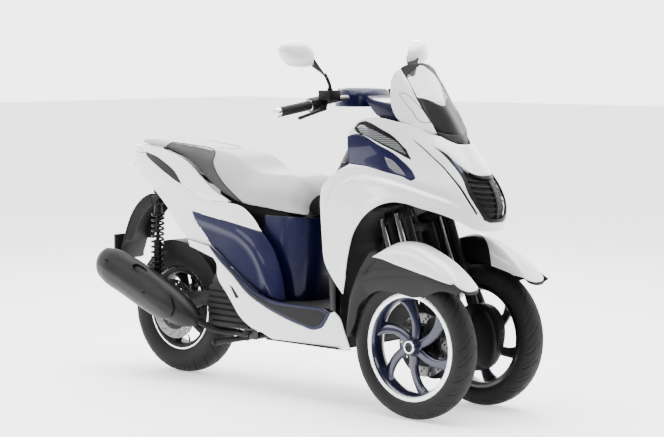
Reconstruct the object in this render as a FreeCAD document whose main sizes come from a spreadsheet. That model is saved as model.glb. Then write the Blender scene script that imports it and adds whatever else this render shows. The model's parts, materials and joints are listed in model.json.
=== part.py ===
"""Leaning three-wheeled scooter: body shells, frame, front forks, wheels, seat and stand, in millimetres.

Side outlines are drawn on stations counted from the front axle, with X forward and Z up from the ground.
at() carries a drawn point to its real place, so the front section follows the front axle, the rear section
follows the rear axle and the floor between them stretches.
"""
import FreeCAD, Part
import math
import os

import Sketcher

V = FreeCAD.Vector
doc = FreeCAD.newDocument("trike")

# Driving dimensions in millimetres and degrees
DIMENSIONS = {
    "overall_length": 1905,
    "front_overhang": 258,
    "wheelbase": 1310,
    "track_width": 372,
    "body_width": 504,
    "floor_height": 345,
    "seat_height": 798,
    "panel_wall": 4,
    "screen_wall": 3,
    "seam": 0.4,
    "steering_rake": 20,
    "steering_trail": 68,
    "kingpin_spacing": 140,
    "kingpin_low": 455,
    "kingpin_high": 676,
    "kingpin_radius": 15,
    "side_tube_radius": 25,
    "bearing_play": 0.5,
    "fork_spacing": 228,
    "fork_tube_radius": 16,
    "fork_slider_radius": 20,
    "fork_tube_pitch": 72,
    "stem_radius": 15,
    "head_tube_radius": 30,
    "front_tyre_diameter": 500,
    "front_tyre_width": 90,
    "front_bead_diameter": 356,
    "front_rim_width": 66,
    "rear_tyre_diameter": 503,
    "rear_tyre_width": 112,
    "rear_bead_diameter": 305,
    "rear_rim_width": 80,
    "rim_flange": 9,
    "tyre_bead_inset": 11,
    "tyre_shoulder": 34,
    "rim_depth": 19,
    "hub_radius": 30,
    "axle_radius": 10,
    "spoke_gap_inner": 42,
    "spoke_thickness": 26,
    "disc_thickness": 4,
    "front_disc_diameter": 220,
    "rear_disc_diameter": 230,
    "fender_clearance": 11,
    "bar_span": 735,
    "bar_radius": 11,
    "bar_height": 1083,
    "grip_radius": 17,
    "grip_length": 124,
    "mirror_width": 132,
    "mirror_height": 98,
    "frame_tube_radius": 17,
    "rail_tube_radius": 11,
    "storage_wall": 3,
    "shock_spacing": 226,
    "shock_radius": 27,
    "muffler_diameter": 122,
    "muffler_wall": 3,
    "outlet_radius": 15,
    "stand_tube_radius": 11,
    "stand_length": 200,
    "stand_pivot_height": 188,
    "stand_width": 170,
    "seat_gap": 4,
}
DRAWN_WHEELBASE = 1310
DRAWN_BODY_WIDTH = 504
DRAWN_FLOOR = 345
DRAWN_SEAT = 798
FRONT_SECTION = -430
REAR_SECTION = -960

sizes = doc.addObject("Spreadsheet::Sheet", "Sizes")
for row, (name, size) in enumerate(DIMENSIONS.items(), start=1):
    sizes.set(f"A{row}", name)
    sizes.set(f"B{row}", str(size))
    sizes.setAlias(f"B{row}", name)
doc.recompute()


def mm(name):
    """Value of a driving dimension."""
    return float(sizes.get(name))


FRONT_X = mm("overall_length") / 2 - mm("front_overhang")
REAR_X = FRONT_X - mm("wheelbase")
FRONT_R = mm("front_tyre_diameter") / 2
REAR_R = mm("rear_tyre_diameter") / 2
HALF_TRACK = mm("track_width") / 2
RAKE = math.radians(mm("steering_rake"))
WALL = mm("panel_wall")
SEAM = mm("seam")
FRONT_AXLE_X = "(Sizes.overall_length / 2 - Sizes.front_overhang)"
REAR_AXLE_X = "(Sizes.overall_length / 2 - Sizes.front_overhang - Sizes.wheelbase)"


# Placing of drawn points

def along(x):
    """Real X of a station drawn from the front axle."""
    if x >= FRONT_SECTION:
        return FRONT_X + x
    if x <= REAR_SECTION:
        return REAR_X + x + DRAWN_WHEELBASE
    share = (FRONT_SECTION - x) / (FRONT_SECTION - REAR_SECTION)
    return FRONT_X + FRONT_SECTION + share * (REAR_X + REAR_SECTION + DRAWN_WHEELBASE - FRONT_X - FRONT_SECTION)


def across(y):
    """Real Y of a drawn half width."""
    return y * mm("body_width") / DRAWN_BODY_WIDTH


def above(z):
    """Real Z of a drawn height: low pieces follow the floor, high pieces follow the seat."""
    floor = mm("floor_height")
    seat = mm("seat_height")
    if z <= DRAWN_FLOOR:
        return z * floor / DRAWN_FLOOR
    if z >= DRAWN_SEAT:
        return seat + z - DRAWN_SEAT
    return floor + (z - DRAWN_FLOOR) * (seat - floor) / (DRAWN_SEAT - DRAWN_FLOOR)


def at(x, y, z):
    return V(along(x), across(y), above(z))


def steering_x(z):
    """X of the steering axes at a height above the ground."""
    return FRONT_X + mm("steering_trail") - math.tan(RAKE) * z


STEER = V(-math.sin(RAKE), 0, math.cos(RAKE))


# Solids and sketches

def node(label, shape):
    """Named solid piece of the assembly."""
    piece = doc.addObject("Part::Feature", label)
    piece.Label = label
    piece.Shape = shape
    return piece


def fuse(parts):
    return parts[0].multiFuse(parts[1:])


def main_solid(shape):
    """The largest solid, without the offcuts that a cut leaves."""
    return max(shape.Solids, key=lambda solid: solid.Volume)


def value(amount):
    return float(amount) if isinstance(amount, (int, float)) else float(sizes.evalExpression(amount))


def bound(piece, **amounts):
    """Sets properties to numbers, or binds them to the sheet."""
    for name, amount in amounts.items():
        if isinstance(amount, str):
            piece.setExpression(name, amount)
        else:
            setattr(piece, name, amount)
    return piece


def rod(label, radius, start, run, length):
    """Round bar primitive that starts at a point and runs along a direction."""
    piece = bound(doc.addObject("Part::Cylinder", label), Radius=radius, Height=length)
    piece.Placement = FreeCAD.Placement(start, FreeCAD.Rotation(V(0, 0, 1), run))
    return piece


def ball(label, radius, centre):
    piece = bound(doc.addObject("Part::Sphere", label), Radius=radius)
    piece.Placement = FreeCAD.Placement(centre, FreeCAD.Rotation())
    return piece


def bent_bar(label, points, radius):
    """Round bar primitives along straight runs with balls at the turns."""
    runs = [rod(f"{label}_run_{i}", radius, start, end - start, (end - start).Length)
            for i, (start, end) in enumerate(zip(points, points[1:]), start=1)]
    return runs + [ball(f"{label}_turn_{i}", radius, point) for i, point in enumerate(points[1:-1], start=1)]


def joined(label, parts):
    piece = doc.addObject("Part::MultiFuse", label)
    piece.Shapes = parts
    return piece


def trimmed(label, base, tool):
    piece = doc.addObject("Part::Cut", label)
    piece.Base = base
    piece.Tool = tool
    return piece


def bowed(start, end, bow, steps=3):
    """Points between two corners along an arc that stands out from the straight edge by bow."""
    middle = (start + end) * 0.5 + V(start.y - end.y, end.x - start.x, 0).normalize() * bow
    arc = Part.Arc(start, middle, end).toShape()
    points = arc.discretize(steps + 2)
    if (points[0] - start).Length > (points[-1] - start).Length:
        points.reverse()
    return [(point.x, point.y) for point in points[1:-1]]


def sketch_on(body, role, corners, bows=None):
    """Closed profile on an origin plane; corners are numbers or expressions, bows round an edge out."""
    bows = bows or {}
    sketch = body.newObject("Sketcher::SketchObject", body.Name + "_profile")
    plane = [feature for feature in body.Origin.OriginFeatures if feature.Role == role][0]
    sketch.AttachmentSupport = [(plane, "")]
    sketch.MapMode = "FlatFace"
    drawn = []
    for i, corner in enumerate(corners):
        drawn.append(corner)
        if i in bows:
            ends = [V(value(x), value(y), 0) for x, y in (corner, corners[(i + 1) % len(corners)])]
            drawn += bowed(ends[0], ends[1], bows[i])
    points = [V(value(x), value(y), 0) for x, y in drawn]
    count = len(points)
    for i in range(count):
        sketch.addGeometry(Part.LineSegment(points[i], points[(i + 1) % count]), False)
    for i in range(count):
        sketch.addConstraint(Sketcher.Constraint("Coincident", i, 2, (i + 1) % count, 1))
    for i, corner in enumerate(drawn):
        for kind, amount, number in zip(("DistanceX", "DistanceY"), corner, (points[i].x, points[i].y)):
            index = sketch.addConstraint(Sketcher.Constraint(kind, -1, 1, i, 1, number))
            if isinstance(amount, str):
                sketch.setExpression(f"Constraints[{index}]", amount)
    return sketch


def place(piece, x, y, z):
    """Placement bound to the sheet."""
    for axis, amount in zip("xyz", (x, y, z)):
        piece.setExpression(f"Placement.Base.{axis}", amount)


def revolve(body, corners, bows=None):
    """Ring about the body's Y axis from a profile of (width, radius) corners."""
    sketch = sketch_on(body, "YZ_Plane", corners, bows)
    turn = body.newObject("PartDesign::Revolution", body.Name + "_turn")
    turn.Profile = sketch
    turn.ReferenceAxis = (sketch, ["H_Axis"])
    turn.Angle = 360
    doc.recompute()
    return turn


def repeat(body, feature, count):
    """Polar pattern of a feature about the body's Y axis."""
    pattern = body.newObject("PartDesign::PolarPattern", body.Name + "_repeat")
    pattern.Originals = [feature]
    axis = [item for item in body.Origin.OriginFeatures if item.Role == "Y_Axis"][0]
    pattern.Axis = (axis, [""])
    pattern.Angle = 360
    pattern.Occurrences = count
    body.Tip = pattern
    doc.recompute()
    return pattern


def pierce(body, corners, bows=None):
    """Cut right through along Y with a profile drawn in XZ."""
    sketch = sketch_on(body, "XZ_Plane", corners, bows)
    pocket = body.newObject("PartDesign::Pocket", body.Name + "_window")
    pocket.Profile = sketch
    pocket.Type = "ThroughAll"
    pocket.Midplane = True
    doc.recompute()
    return pocket


def knots_of(points):
    """Running length along the points, which keeps a curve from swinging out between them."""
    knots = [0.0]
    for start, end in zip(points, points[1:]):
        knots.append(knots[-1] + (end - start).Length)
    return knots


def curve(points, knots=None):
    """Smooth edge through points, or a straight one through two."""
    if len(points) == 2:
        return Part.LineSegment(points[0], points[1]).toShape()
    line = Part.BSplineCurve()
    line.interpolate(Points=points, Parameters=knots or knots_of(points))
    return line.toShape()


def loop_face(runs, lift):
    """Flat face inside an outline: each run is smooth, and goes on to the first point of the next one."""
    edges = []
    for run, after in zip(runs, runs[1:] + runs[:1]):
        points = run if run[-1] == after[0] else run + [after[0]]
        if len(points) > 1:
            edges.append(curve([lift(point) for point in points]))
    return Part.Face(Part.Wire(edges))


def prism(runs, low=-420, high=420):
    """Solid across the body from a side outline of stations and heights."""
    face = loop_face(runs, lambda point: at(point[0], 0, point[1]))
    face.translate(V(0, low, 0))
    return face.extrude(V(0, high - low, 0))


def front_prism(runs, rear=-900, front=400):
    """Solid along the body from a half outline in YZ, mirrored to the other side."""
    sides = []
    for sign in (-1, 1):
        face = loop_face(runs, lambda point: V(0, sign * across(point[0]), above(point[1])))
        face.translate(V(along(rear), 0, 0))
        sides.append(face.extrude(V(along(front) - along(rear), 0, 0)))
    return sides[0].fuse(sides[1])


def inset_points(half, amount):
    """Half plan outline moved inwards by a wall thickness; the first point lies on the centre plane."""
    points = [V(along(x), across(y), 0) for x, y in half]
    inward = -1 if points[0].x > points[-1].x else 1
    moved = []
    for i, point in enumerate(points):
        before = V(points[1].x, -points[1].y, 0) if i == 0 else points[i - 1]
        after = points[min(i + 1, len(points) - 1)]
        run = (after - before).normalize()
        moved.append(point + V(run.y, -run.x, 0) * amount * inward)
    return moved


def hull(sections, closing, inset=0.0):
    """Closed solid lofted through level sections, each a half outline from the centre plane to its end."""
    wires = []
    knots = None
    for z, half in sections:
        points = inset_points(half, inset)
        left = [V(p.x, p.y, above(z)) for p in points]
        right = [V(p.x, -p.y, above(z)) for p in points[:0:-1]]
        knots = knots or knots_of(right + left)
        corner_left = V(along(closing), left[-1].y, above(z))
        corner_right = V(along(closing), right[0].y, above(z))
        wires.append(Part.Wire([curve(right + left, knots), curve([left[-1], corner_left]),
                                curve([corner_left, corner_right]), curve([corner_right, right[0]])]))
    return Part.makeLoft(wires, True, True)


def tube(points, radius):
    """Round bar along straight runs with ball joints at the turns."""
    parts = []
    for start, end in zip(points, points[1:]):
        parts.append(Part.makeCylinder(radius, (end - start).Length, start, end - start))
    for point in points[1:-1]:
        parts.append(Part.makeSphere(radius, point))
    return fuse(parts)


def block(x0, x1, y0, y1, z0, z1):
    """Plain block between two drawn corners."""
    low = at(x0, y0, z0)
    high = at(x1, y1, z1)
    return Part.makeBox(high.x - low.x, high.y - low.y, high.z - low.z, low)


def mirrored(shape):
    return shape.mirror(V(0, 0, 0), V(0, 1, 0))


def both(shape):
    """The piece and its twin on the other side."""
    return Part.makeCompound([shape, mirrored(shape)])


# Front cowl

COWL_LEVELS = [
    (400, [(200, 0), (186, 60), (145, 115), (50, 190), (-80, 240), (-240, 248), (-400, 242)]),
    (520, [(202, 0), (188, 60), (148, 115), (55, 190), (-80, 242), (-240, 251), (-400, 243)]),
    (645, [(205, 0), (190, 60), (150, 115), (60, 187), (-80, 243), (-240, 252), (-400, 240)]),
    (741, [(208, 0), (190, 60), (145, 118), (50, 190), (-60, 243), (-240, 254), (-400, 240)]),
    (800, [(182, 0), (162, 56), (122, 106), (36, 172), (-60, 227), (-230, 246), (-400, 238)]),
    (845, [(148, 0), (130, 50), (90, 96), (14, 156), (-80, 210), (-230, 236), (-400, 232)]),
    (910, [(92, 0), (74, 48), (38, 100), (-40, 156), (-110, 192), (-230, 216), (-400, 222)]),
    (980, [(28, 0), (10, 48), (-20, 96), (-80, 150), (-130, 184), (-230, 208), (-400, 214)]),
    (1045, [(-24, 0), (-38, 46), (-62, 90), (-110, 144), (-150, 176), (-230, 198), (-400, 204)]),
]
cowl_outer = hull(COWL_LEVELS, -440)
cowl_cavity = hull(COWL_LEVELS, -470, WALL)
cowl_shell = cowl_outer.cut(cowl_cavity)
COWL_SIDE = [
    [(-216, 1020), (-243, 1006), (-262, 980)],
    [(-276, 958), (-268, 905)],
    [(-258, 858), (-290, 845), (-340, 815), (-384, 776)],
    [(-388, 735), (-383, 660), (-376, 592), (-362, 516), (-325, 463)],
    [(-276, 411), (-258, 496), (-240, 567), (-222, 620), (-193, 673), (-123, 718), (-43, 743),
     (23, 739), (93, 725), (143, 692)],
    [(160, 664), (178, 648), (200, 641)],
    [(240, 641), (240, 932)],
    [(62, 932), (11, 951), (-89, 982), (-157, 1006)],
]
LAMP_SIDE = [[(-260, 984), (-244, 1003), (-214, 1004)], [(-205, 1003), (-145, 985), (-61, 942)],
             [(-45, 925), (-17, 879)], [(-17, 879), (-140, 932)]]
INSERT_SIDE = [[(-285, 963), (-265, 960), (-129, 920), (-47, 882), (-8, 852), (12, 817)],
               [(12, 817), (-90, 836), (-193, 857), (-258, 860)], [(-258, 860), (-290, 900)],
               [(-290, 900), (-285, 963)]]
lamp_window = prism(LAMP_SIDE)
insert_window = prism(INSERT_SIDE)
GRILLE_FRONT = [[(0, 672), (47, 677)], [(50, 680), (72, 800), (80, 845), (95, 878), (112, 905)],
                [(126, 926), (118, 926), (100, 892), (62, 852), (25, 833)], [(0, 828), (0, 750)]]
grille_window = front_prism(GRILLE_FRONT, rear=-60)
SLIT_FRONT = [[(164, 948), (142, 873), (112, 784)], [(86, 702), (84, 708)], [(104, 784), (133, 873), (156, 950)],
              [(157, 953), (163, 953)]]
slit_window = front_prism(SLIT_FRONT, rear=-45)
cowl_trim = prism(COWL_SIDE)
cowl_body = cowl_shell.common(cowl_trim)
cowl_panel = cowl_body.cut(lamp_window).cut(insert_window).cut(grille_window).cut(slit_window)
lenses = cowl_body.common(lamp_window)
inserts = cowl_body.common(insert_window)
grille_skin = cowl_body.common(grille_window)
slits = cowl_body.common(slit_window).cut(lamp_window).cut(insert_window)

# Dash panel under the screen closes the top of the cowl
dash_top = prism([[(62, 925), (-300, 1043)], [(-300, 1043), (-300, 1037)], [(-300, 1037), (62, 919)],
                  [(62, 919), (62, 925)]])
dash_reach = prism([[(70, 900), (70, 1100)], [(70, 1100), (-205, 1100)], [(-205, 1100), (-205, 900)],
                    [(-205, 900), (70, 900)]])
dash = dash_top.common(dash_reach).common(cowl_cavity)

# Screen and its wings stand on the dash panel

SCREEN_LEVELS = [
    (924, [(68, 0), (52, 40), (16, 80), (-54, 120), (-82, 150)]),
    (976, [(27, 0), (15, 47), (-7, 93), (-75, 128), (-100, 150)]),
    (1030, [(-10, 0), (-22, 46), (-42, 92), (-105, 132), (-128, 152)]),
    (1081, [(-48, 0), (-58, 44), (-76, 88), (-128, 130), (-150, 152)]),
    (1130, [(-84, 0), (-93, 43), (-108, 86), (-142, 122), (-160, 148)]),
    (1168, [(-111, 0), (-119, 42), (-137, 84), (-155, 114), (-168, 140)]),
    (1212, [(-140, 0), (-148, 40), (-162, 78), (-174, 106), (-184, 130)]),
]
screen_outer = hull(SCREEN_LEVELS, -230)
screen_shell = screen_outer.cut(hull(SCREEN_LEVELS, -260, mm("screen_wall")))
SCREEN_FRONT = [[(0, 924), (28, 930), (62, 948), (93, 976)], [(93, 976), (92, 1030), (87, 1081), (84, 1130)],
                [(82, 1168), (72, 1190), (48, 1204), (0, 1209)], [(0, 1209), (0, 1000)]]
WING_FRONT = [[(93 + SEAM, 976), (92 + SEAM, 1030), (87 + SEAM, 1081), (84 + SEAM, 1130)],
              [(82 + SEAM, 1168), (104, 1192), (130, 1168)],
              [(140, 1115), (147, 1064), (146, 1027)], [(141, 1010), (100, 976)]]
above_dash = prism([[(100, 912.6), (-300, 1043)], [(-300, 1043), (-300, 1400)], [(-300, 1400), (100, 1400)],
                    [(100, 1400), (100, 912.6)]])
screen = screen_shell.common(front_prism(SCREEN_FRONT, rear=-400)).common(above_dash)
wings = screen_shell.common(front_prism(WING_FRONT, rear=-400)).common(above_dash)

# Nose grille: a black lattice standing behind its window
GRILLE_BARS = 7
GRILLE_PITCH = 20
GRILLE_SLOT = 11
grille_back = cowl_cavity.cut(hull(COWL_LEVELS, -500, WALL + 14))
grille = grille_back.common(front_prism([[(0, 680), (43, 684)], [(43, 684), (66, 802), (74, 845), (94, 884)],
                                         [(94, 884), (60, 846), (25, 828), (0, 823)], [(0, 823), (0, 680)]],
                                        rear=-60))
for i in range(GRILLE_BARS):
    base = 694 + i * GRILLE_PITCH
    inner = 34 + 0.2 * (i * GRILLE_PITCH)
    grille = grille.cut(block(60, 300, 6, inner, base, base + GRILLE_SLOT))
    grille = grille.cut(block(60, 300, -inner, -6, base, base + GRILLE_SLOT))
grille = grille.fuse(grille_skin.cut(front_prism([[(0, 690), (40, 692)], [(40, 692), (62, 802), (68, 838)],
                                                  [(68, 838), (25, 820), (0, 816)], [(0, 816), (0, 690)]],
                                                 rear=-60)))

# Frame: head tube, spine for the tilting arms, down tube, floor tubes and seat rails

frame_r = mm("frame_tube_radius")
rail_r = mm("rail_tube_radius")
king_y = mm("kingpin_spacing") / 2
ARM_LEVELS = (512, 628)


def steer_point(z, y=0.0):
    return V(steering_x(z), y, z)


def along_steer(z0, z1, radius, y=0.0):
    """Round bar on a steering axis between two heights."""
    length = (z1 - z0) / math.cos(RAKE)
    return Part.makeCylinder(radius, length, steer_point(z0, y), STEER)


head_tube = along_steer(700, 905, mm("head_tube_radius"))
spine = along_steer(470, 701, 21)
down_tube = tube([steer_point(712), at(-343, 0, 520), at(-343, 0, 330), at(-395, 0, 290)], frame_r)
FLOOR_TUBE = [(-395, 0, 290), (-430, 90, 290), (-740, 90, 290), (-790, 112, 450), (-880, 124, 590),
              (-1010, 124, 640), (-1240, 108, 730), (-1440, 66, 790)]
rails = []
for sign in (-1, 1):
    low = [at(x, sign * y, z) for x, y, z in FLOOR_TUBE[:3]]
    high = [at(x, sign * y, z) for x, y, z in FLOOR_TUBE[2:]]
    rails += [tube(low, frame_r), tube(high, rail_r), Part.makeSphere(frame_r, low[-1])]
cross = [tube([at(x, -y, z), at(x, y, z)], rail_r)
         for x, y, z in ((-740, 90, 290), (-1440, 66, 790), (-470, 90, 290), (-790, 112, 450))]
box_rest = block(-800, -780, -60, 60, 452, 498)
floor_rests = [block(-480, -460, -150, 150, 296, 331), block(-700, -680, -150, 150, 290, 331)]
hanger = [block(-815, -735, -56, -36, 280, 306), block(-815, -735, 36, 56, 280, 306)]
cowl_stay = block(-300, -276, -300, 300, 846, 864).fuse(block(-340, -210, -26, 26, 846, 864))
stays = [cowl_stay.common(cowl_cavity)]
stem_bore = along_steer(640, 1000, mm("stem_radius") + mm("bearing_play"))
frame = fuse([head_tube, spine, down_tube, box_rest] + rails + cross + floor_rests + hanger + stays)
frame = frame.cut(stem_bore)

# Tilting arms: two beams between the spine and two side tubes

side_r = mm("side_tube_radius")
bore_r = mm("kingpin_radius") + mm("bearing_play")
arms = []
for z in ARM_LEVELS:
    centre = steer_point(z)
    beam = Part.makeBox(54, 2 * king_y, 26, V(-27, -king_y, -13))
    beam.rotate(V(0, 0, 0), V(0, 1, 0), -mm("steering_rake"))
    beam.translate(centre)
    arms.append(beam)
for sign in (-1, 1):
    arms.append(along_steer(495, 645, side_r, sign * king_y))
link_arms = fuse(arms).cut(frame)
for sign in (-1, 1):
    link_arms = link_arms.cut(along_steer(400, 760, bore_r, sign * king_y))
link_arms = main_solid(link_arms)
frame = frame.cut(link_arms)

# Front forks: two telescopic tubes in tandem on the inner side of each wheel

FORE = V(math.cos(RAKE), 0, math.sin(RAKE))
tube_y = mm("fork_spacing") / 2
FORK_FORE = (0.0, mm("fork_tube_pitch"))
BRACKET = [(-50, 318), (-20, 352), (40, 372), (98, 360), (132, 318), (138, 262), (120, 196), (82, 150),
           (28, 136), (-22, 160), (-52, 216), (-58, 270), (-50, 318)]
plates = {}
for sign, side in ((-1, "right"), (1, "left")):
    parts = [along_steer(mm("kingpin_low"), mm("kingpin_high"), mm("kingpin_radius"), sign * king_y)]
    for z in (mm("kingpin_low") + 2, 652):
        for fore in FORK_FORE:
            start = steer_point(z, sign * king_y)
            end = start + FORE * fore + V(0, sign * (tube_y - king_y), 0)
            run = end - start
            clamp = Part.makeBox(run.Length, 30, 22, V(0, -15, 0))
            turn = FreeCAD.Rotation(run, STEER.cross(run), STEER, "XZY")
            clamp.Placement = FreeCAD.Placement(start, turn)
            parts += [clamp, Part.makeCylinder(25, 22, end, STEER), Part.makeCylinder(24, 22, start, STEER)]
    for fore in FORK_FORE:
        top = steer_point(690, sign * tube_y) + FORE * fore
        low = steer_point(430, sign * tube_y) + FORE * fore
        end = steer_point(232, sign * tube_y) + FORE * fore
        parts.append(Part.makeCylinder(mm("fork_tube_radius"), (top - low).Length, low, top - low))
        parts.append(Part.makeCylinder(mm("fork_slider_radius"), (low - end).Length, end, low - end))
    edge = sorted((sign * 98, sign * 134))
    parts.append(prism([BRACKET], edge[0], edge[1]))
    axle_end = sign * (HALF_TRACK + 26)
    axle = Part.makeCylinder(mm("axle_radius"), abs(axle_end) - 100, V(FRONT_X, sign * 100, FRONT_R),
                             V(0, sign, 0))
    parts.append(axle)
    plates[side] = fuse(parts)

# Front wheels, drawn about their own axle


TREAD_SHARE = 0.62
TREAD_DROP = 5


def make_tyre(label, kind, x, y):
    body = doc.addObject("PartDesign::Body", label)
    body.Label = label
    wide = f"Sizes.{kind}_tyre_width / 2"
    outer = f"Sizes.{kind}_tyre_diameter / 2"
    bead = f"Sizes.{kind}_bead_diameter / 2 + Sizes.seam"
    flank = [(f"(Sizes.{kind}_rim_width / 2 - Sizes.tyre_bead_inset)", bead),
             (wide, f"{outer} - Sizes.tyre_shoulder"), (f"{wide} * {TREAD_SHARE}", f"{outer} - {TREAD_DROP}")]
    left = [(f"-{wide_at}", radius) for wide_at, radius in flank]
    revolve(body, left + [("0", outer)] + flank[::-1])
    place(body, x, y, f"Sizes.{kind}_tyre_diameter / 2")
    return body


def make_rim(label, kind, x, y, spokes, hub_in, hub_out):
    """Cast wheel: a drop-centre hoop, a web and a hub, with curved windows between the spokes."""
    body = doc.addObject("PartDesign::Body", label)
    body.Label = label
    bead = f"Sizes.{kind}_bead_diameter / 2"
    half = f"Sizes.{kind}_rim_width / 2"
    web = "Sizes.spoke_thickness / 2"
    corners = [(f"-{half}", f"{bead} + Sizes.rim_flange"), (f"-{half} + 4", f"{bead} + Sizes.rim_flange"),
               (f"-{half} + 4", bead), (f"-{half} + 16", bead), (f"-{half} + 22", f"{bead} - 9"),
               (f"{half} - 22", f"{bead} - 9"), (f"{half} - 16", bead), (f"{half} - 4", bead),
               (f"{half} - 4", f"{bead} + Sizes.rim_flange"), (half, f"{bead} + Sizes.rim_flange"),
               (half, f"{bead} - Sizes.rim_depth + 9"), (f"{web} + 3", f"{bead} - Sizes.rim_depth"),
               (web, f"{bead} - Sizes.rim_depth - 6"), (web, "Sizes.hub_radius + 6"),
               (hub_out, "Sizes.hub_radius - 4"), (hub_out, "Sizes.axle_radius + 0.5"),
               (hub_in, "Sizes.axle_radius + 0.5"), (hub_in, "Sizes.hub_radius - 4"),
               (f"-{web}", "Sizes.hub_radius + 6"), (f"-{web}", f"{bead} - Sizes.rim_depth - 6"),
               (f"-{web} - 3", f"{bead} - Sizes.rim_depth"), (f"-{half}", f"{bead} - Sizes.rim_depth + 9")]
    revolve(body, corners)
    outer = value(f"{bead} - Sizes.rim_depth - 8")
    inner = mm("spoke_gap_inner")
    step = 2 * math.pi / spokes
    swirl = 0.24
    half_in = step / 2 - 9.5 / inner
    half_out = step / 2 - 13.0 / outer
    near = [(inner * math.cos(t), inner * math.sin(t)) for t in (-half_in, half_in)]
    far = [(outer * math.cos(t + swirl), outer * math.sin(t + swirl)) for t in (half_out, -half_out)]
    window = pierce(body, [near[0], near[1], far[0], far[1]], {1: 7.0, 2: 16.0, 3: -7.0})
    repeat(body, window, spokes)
    place(body, x, y, f"Sizes.{kind}_tyre_diameter / 2")
    return body


def make_disc(label, kind, x, y, inner, holes):
    """Brake disc with a ring of drilled holes."""
    body = doc.addObject("PartDesign::Body", label)
    body.Label = label
    outer = f"Sizes.{kind}_disc_diameter / 2"
    half = "Sizes.disc_thickness / 2"
    revolve(body, [(f"-{half}", inner), (f"-{half}", outer), (half, outer), (half, inner)])
    ring = value(f"{outer} - 17")
    size = 5.0
    hole = pierce(body, [(ring - size, 0.0), (ring, size), (ring + size, 0.0), (ring, -size)])
    repeat(body, hole, holes)
    place(body, x, y, f"Sizes.{kind}_tyre_diameter / 2")
    return body


FRONT_HUB_IN = 41
wheel_bodies = []
for sign, side in (("-", "right"), ("", "left")):
    plane = f"{sign}Sizes.track_width / 2"
    hub_in = f"{FRONT_HUB_IN}.0" if side == "right" else f"-{FRONT_HUB_IN}.0"
    hub_out = "-35.0" if side == "right" else "35.0"
    wheel_bodies.append(make_tyre(f"tyre_front_{side}", "front", FRONT_AXLE_X, plane))
    low, high = sorted((float(hub_in), float(hub_out)))
    wheel_bodies.append(make_rim(f"rim_front_{side}", "front", FRONT_AXLE_X, plane, 6, str(low), str(high)))
    inward = "+" if side == "right" else "-"
    wheel_bodies.append(make_disc(f"disc_front_{side}", "front", FRONT_AXLE_X, f"{plane} {inward} 43", "17", 12))
wheel_bodies.append(make_tyre("tyre_rear", "rear", REAR_AXLE_X, "0"))
wheel_bodies.append(make_rim("rim_rear", "rear", REAR_AXLE_X, "0", 5, "-64.0", "50.0"))
wheel_bodies.append(make_disc("disc_rear", "rear", REAR_AXLE_X, "-66", "17", 12))
doc.recompute()

# Front fenders: a white crowned cap over a black liner, carried by the fork

FENDER_STATIONS = [(-166, 550, 556), (-110, 545, 584), (-45, 528, 604), (40, 511, 597), (103, 500, 571),
                   (160, 487, 543), (210, 470, 507), (258, 434, 448)]
CROWN = [(1.0, 0.0), (0.97, 0.3), (0.86, 0.62), (0.5, 0.92), (0.0, 1.0)]
LINER_SIDE = [
    [(-257, 262), (-230, 306), (-205, 379), (-166, 414), (-131, 431), (-33, 431)],
    [(-33, 431), (22, 422), (83, 433), (150, 454), (225, 448)],
    [(225, 448), (234, 468)],
    [(234, 468), (210, 475), (160, 491), (103, 504), (40, 515), (-45, 532), (-110, 549)],
    [(-110, 549), (-150, 560), (-205, 505), (-240, 440), (-258, 350), (-264, 262)],
    [(-264, 262), (-257, 262)],
]
FENDER_HALF = 55
fender_gap = mm("fender_clearance")


def fender_solid(sign, inset):
    """Crowned solid over one front wheel."""
    profiles = []
    for x, low, top in FENDER_STATIONS:
        half = FENDER_HALF - inset
        ridge = max(top - inset, low + 2)
        right = [V(along(x), sign * HALF_TRACK + half * share, above(low) + (above(ridge) - above(low)) * lift)
                 for share, lift in CROWN]
        left = [V(p.x, 2 * sign * HALF_TRACK - p.y, p.z) for p in right[-2::-1]]
        arch = curve(right + left)
        profiles.append(Part.Wire([arch, curve([left[-1], right[0]])]))
    return Part.makeLoft(profiles, True, True)


tyre_half = mm("front_tyre_width") / 2
fenders = {}
liners = {}
for sign, side in ((-1, "right"), (1, "left")):
    axle = V(FRONT_X, sign * HALF_TRACK, FRONT_R)
    room = Part.makeCylinder(FRONT_R + fender_gap, 2 * tyre_half + 12, axle - V(0, tyre_half + 6, 0), V(0, 1, 0))
    cap = fender_solid(sign, 0)
    core = fender_solid(sign, 5)
    fenders[side] = cap.cut(core).cut(room)
    edge = sorted((sign * (HALF_TRACK - FENDER_HALF), sign * (HALF_TRACK + FENDER_HALF)))
    valance = prism(LINER_SIDE, edge[0], edge[1])
    fenders[side] = main_solid(fenders[side].cut(valance))
    liners[side] = valance.cut(room).cut(plates[side])
    inner_half = Part.makeBox(700, 30, 190, V(FRONT_X - 350, sign * 140 - 15, above(262)))
    liners[side] = main_solid(liners[side].cut(inner_half.common(Part.makeCylinder(
        FRONT_R + fender_gap, 400, V(FRONT_X, -200, FRONT_R), V(0, 1, 0)))))

# Brake calipers on the fork brackets, over the front discs

disc_r = mm("front_disc_diameter") / 2
calipers = {}
for sign, side in ((-1, "right"), (1, "left")):
    disc_y = sign * (HALF_TRACK - 43)
    grip = V(FRONT_X + 62, 0, FRONT_R + 62)
    low_y, high_y = sorted((sign * 124, sign * 160))
    housing = Part.makeCylinder(40, high_y - low_y, V(grip.x, low_y, grip.z), V(0, 1, 0))
    housing = housing.common(Part.makeBox(74, 60, 64, V(grip.x - 34, low_y, grip.z - 26)))
    slot = Part.makeCylinder(disc_r + 4, 8, V(FRONT_X, disc_y - 4, FRONT_R), V(0, 1, 0))
    rotor_room = Part.makeCylinder(mm("hub_radius") + 22, 60, V(FRONT_X, low_y, FRONT_R), V(0, 1, 0))
    calipers[side] = housing.cut(slot).cut(rotor_room).cut(plates[side])

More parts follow.
